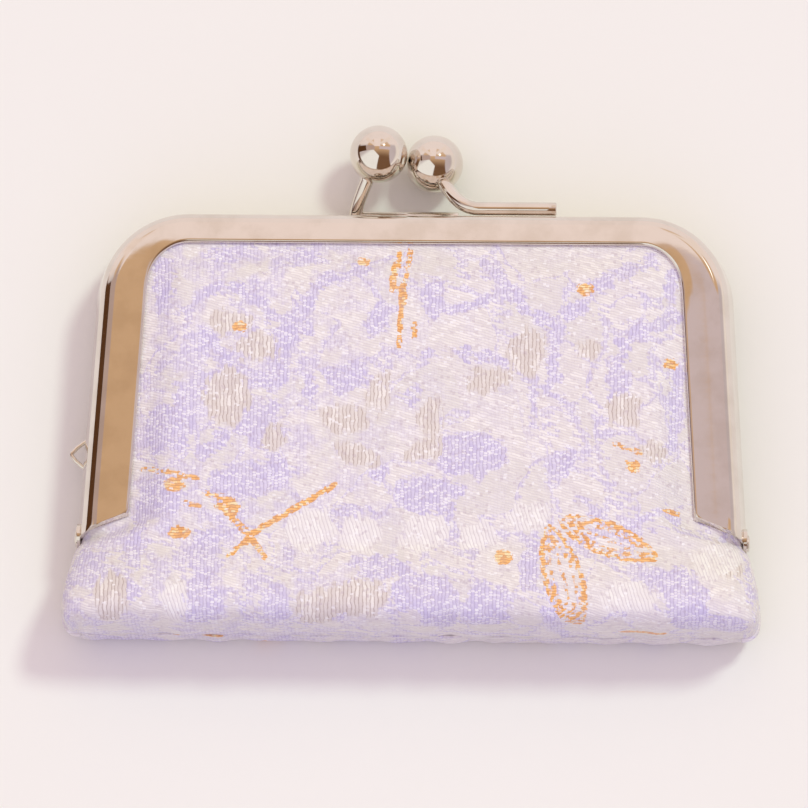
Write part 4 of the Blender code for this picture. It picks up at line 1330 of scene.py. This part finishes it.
def room_card(middle, half, soft, turn):
    """A soft-edged card on the ceiling, in the flat view straight up."""
    x = kit.math("SUBTRACT", way["X"], middle[0])
    y = kit.math("SUBTRACT", way["Y"], middle[1])
    c, s = math.cos(turn), math.sin(turn)
    across = kit.math("ADD", kit.math("MULTIPLY", x, c), kit.math("MULTIPLY", y, s))
    along = kit.math("SUBTRACT", kit.math("MULTIPLY", y, c), kit.math("MULTIPLY", x, s))
    in_x = kit.ramp(kit.math("ABSOLUTE", across), half[0] + soft, half[0] - soft)
    in_y = kit.ramp(kit.math("ABSOLUTE", along), half[1] + soft, half[1] - soft)
    above = kit.ramp(way["Z"], 0.0, 0.02)
    return kit.math("MULTIPLY", kit.math("MULTIPLY", in_x, in_y), above)


def beyond_line(across_x, across_y, start, soft):
    """1 past a straight edge, in the flat view straight up."""
    along_x = kit.math("MULTIPLY", way["X"], across_x)
    along_y = kit.math("MULTIPLY", way["Y"], across_y)
    return kit.ramp(kit.math("ADD", along_x, along_y), start - soft, start + soft)


def brown_room():
    """A brown ceiling, darker on the near side, over walls that are nearly black."""
    room = kit.mix(kit.ramp(way["Y"], -0.45, 0.30), (0.20, 0.10, 0.05), (0.70, 0.455, 0.27))
    room = kit.mix(kit.ramp(way["Y"], 0.34, 0.60), room, (0.80, 0.58, 0.43))
    return kit.mix(kit.ramp(way["Z"], 0.30, 0.10), room, (0.12, 0.05, 0.02))


def add_right_wall(room):
    """A mauve wall at the right, pale at its foot."""
    wall = kit.mix(kit.ramp(way["Z"], 0.35, 0.20), (0.64, 0.55, 0.57), (0.95, 0.86, 0.80))
    return kit.mix(beyond_line(1.0, 0.0, 0.70, 0.03), room, wall)


def add_window(room):
    """A window at the left, bright near the viewer and greyer further away."""
    edges = (beyond_line(-0.746, -0.665, 0.20, 0.02), beyond_line(-0.96, 0.27, -0.15, 0.02))
    window = kit.math("MULTIPLY", kit.math("MULTIPLY", *edges), kit.ramp(way["Z"], 0.14, 0.20))
    pane = kit.mix(beyond_line(-0.5, 0.87, 0.30, 0.12), (1.0, 0.98, 0.95), (0.66, 0.58, 0.58))
    return kit.mix(window, room, pane)


def add_far_wall(room):
    """A pale wall beyond the clasp, below the ceiling."""
    low = kit.ramp(way["Z"], 0.66, 0.60)
    return kit.mix(kit.math("MULTIPLY", low, kit.ramp(way["Y"], 0.35, 0.5)), room, (0.97, 0.84, 0.80))


room = add_far_wall(add_window(add_right_wall(brown_room())))
for middle, half, soft, turn, color in ROOM_CARDS:
    room = kit.mix(room_card(middle, half, soft, turn), room, color)
room = kit.mix(kit.ramp(way["Z"], 0.01, -0.01), room, (0.90, 0.83, 0.79))

# %% World
path = kit.add("ShaderNodeLightPath").outputs
overhead = kit.math("MULTIPLY_ADD", kit.math("MAXIMUM", way["Z"], 0.0), 1.25, 0.15)
overhead = kit.math("MULTIPLY_ADD", kit.ramp(way["Y"], -0.5, -0.95), 0.5, overhead)
tint = kit.mix(kit.ramp(way["Y"], -0.8, 0.8), (0.71, 0.63, 0.96), (0.97, 0.775, 0.745))
soft_light = kit.add("ShaderNodeVectorMath", {0: tint, "Scale": overhead}, operation="SCALE").outputs[0]
fill = kit.mix(path["Is Glossy Ray"], soft_light, room)
seen = kit.mix(path["Is Camera Ray"], fill, (0.90, 0.86, 0.80))
backdrop = world.node_tree.nodes["Background"]
kit.feed(backdrop.inputs["Color"], seen)
backdrop.inputs["Strength"].default_value = 1.0

# %% Camera
PHOTO_WIDTH = 808
PIXELS_PER_MM = 8.55
SENSOR_WIDTH = 36.0
ROLL = math.radians(0.6)
camera_data = bpy.data.cameras.new("camera")
camera = bpy.data.objects.new("camera", camera_data)
bpy.context.scene.collection.objects.link(camera)
target = place(-1.0, 15.2, 5.5)
pitch, yaw, distance = math.radians(13.0), math.radians(-1.5), 1.0
back = Vector((-math.sin(yaw) * math.cos(pitch), -math.sin(pitch), math.cos(yaw) * math.cos(pitch)))
camera.location = target + back * distance
camera.rotation_mode = "QUATERNION"
aim = Vector((0, 0, 1)).rotation_difference(back)
camera.rotation_quaternion = aim @ Matrix.Rotation(ROLL, 4, "Z").to_quaternion()
camera_data.sensor_width = SENSOR_WIDTH
camera_data.lens = SENSOR_WIDTH * PIXELS_PER_MM * distance / MM / PHOTO_WIDTH
camera_data.clip_start = 0.01
bpy.context.scene.camera = camera
bpy.context.scene.view_settings.view_transform = "Standard"
print("lens", round(camera_data.lens, 1))
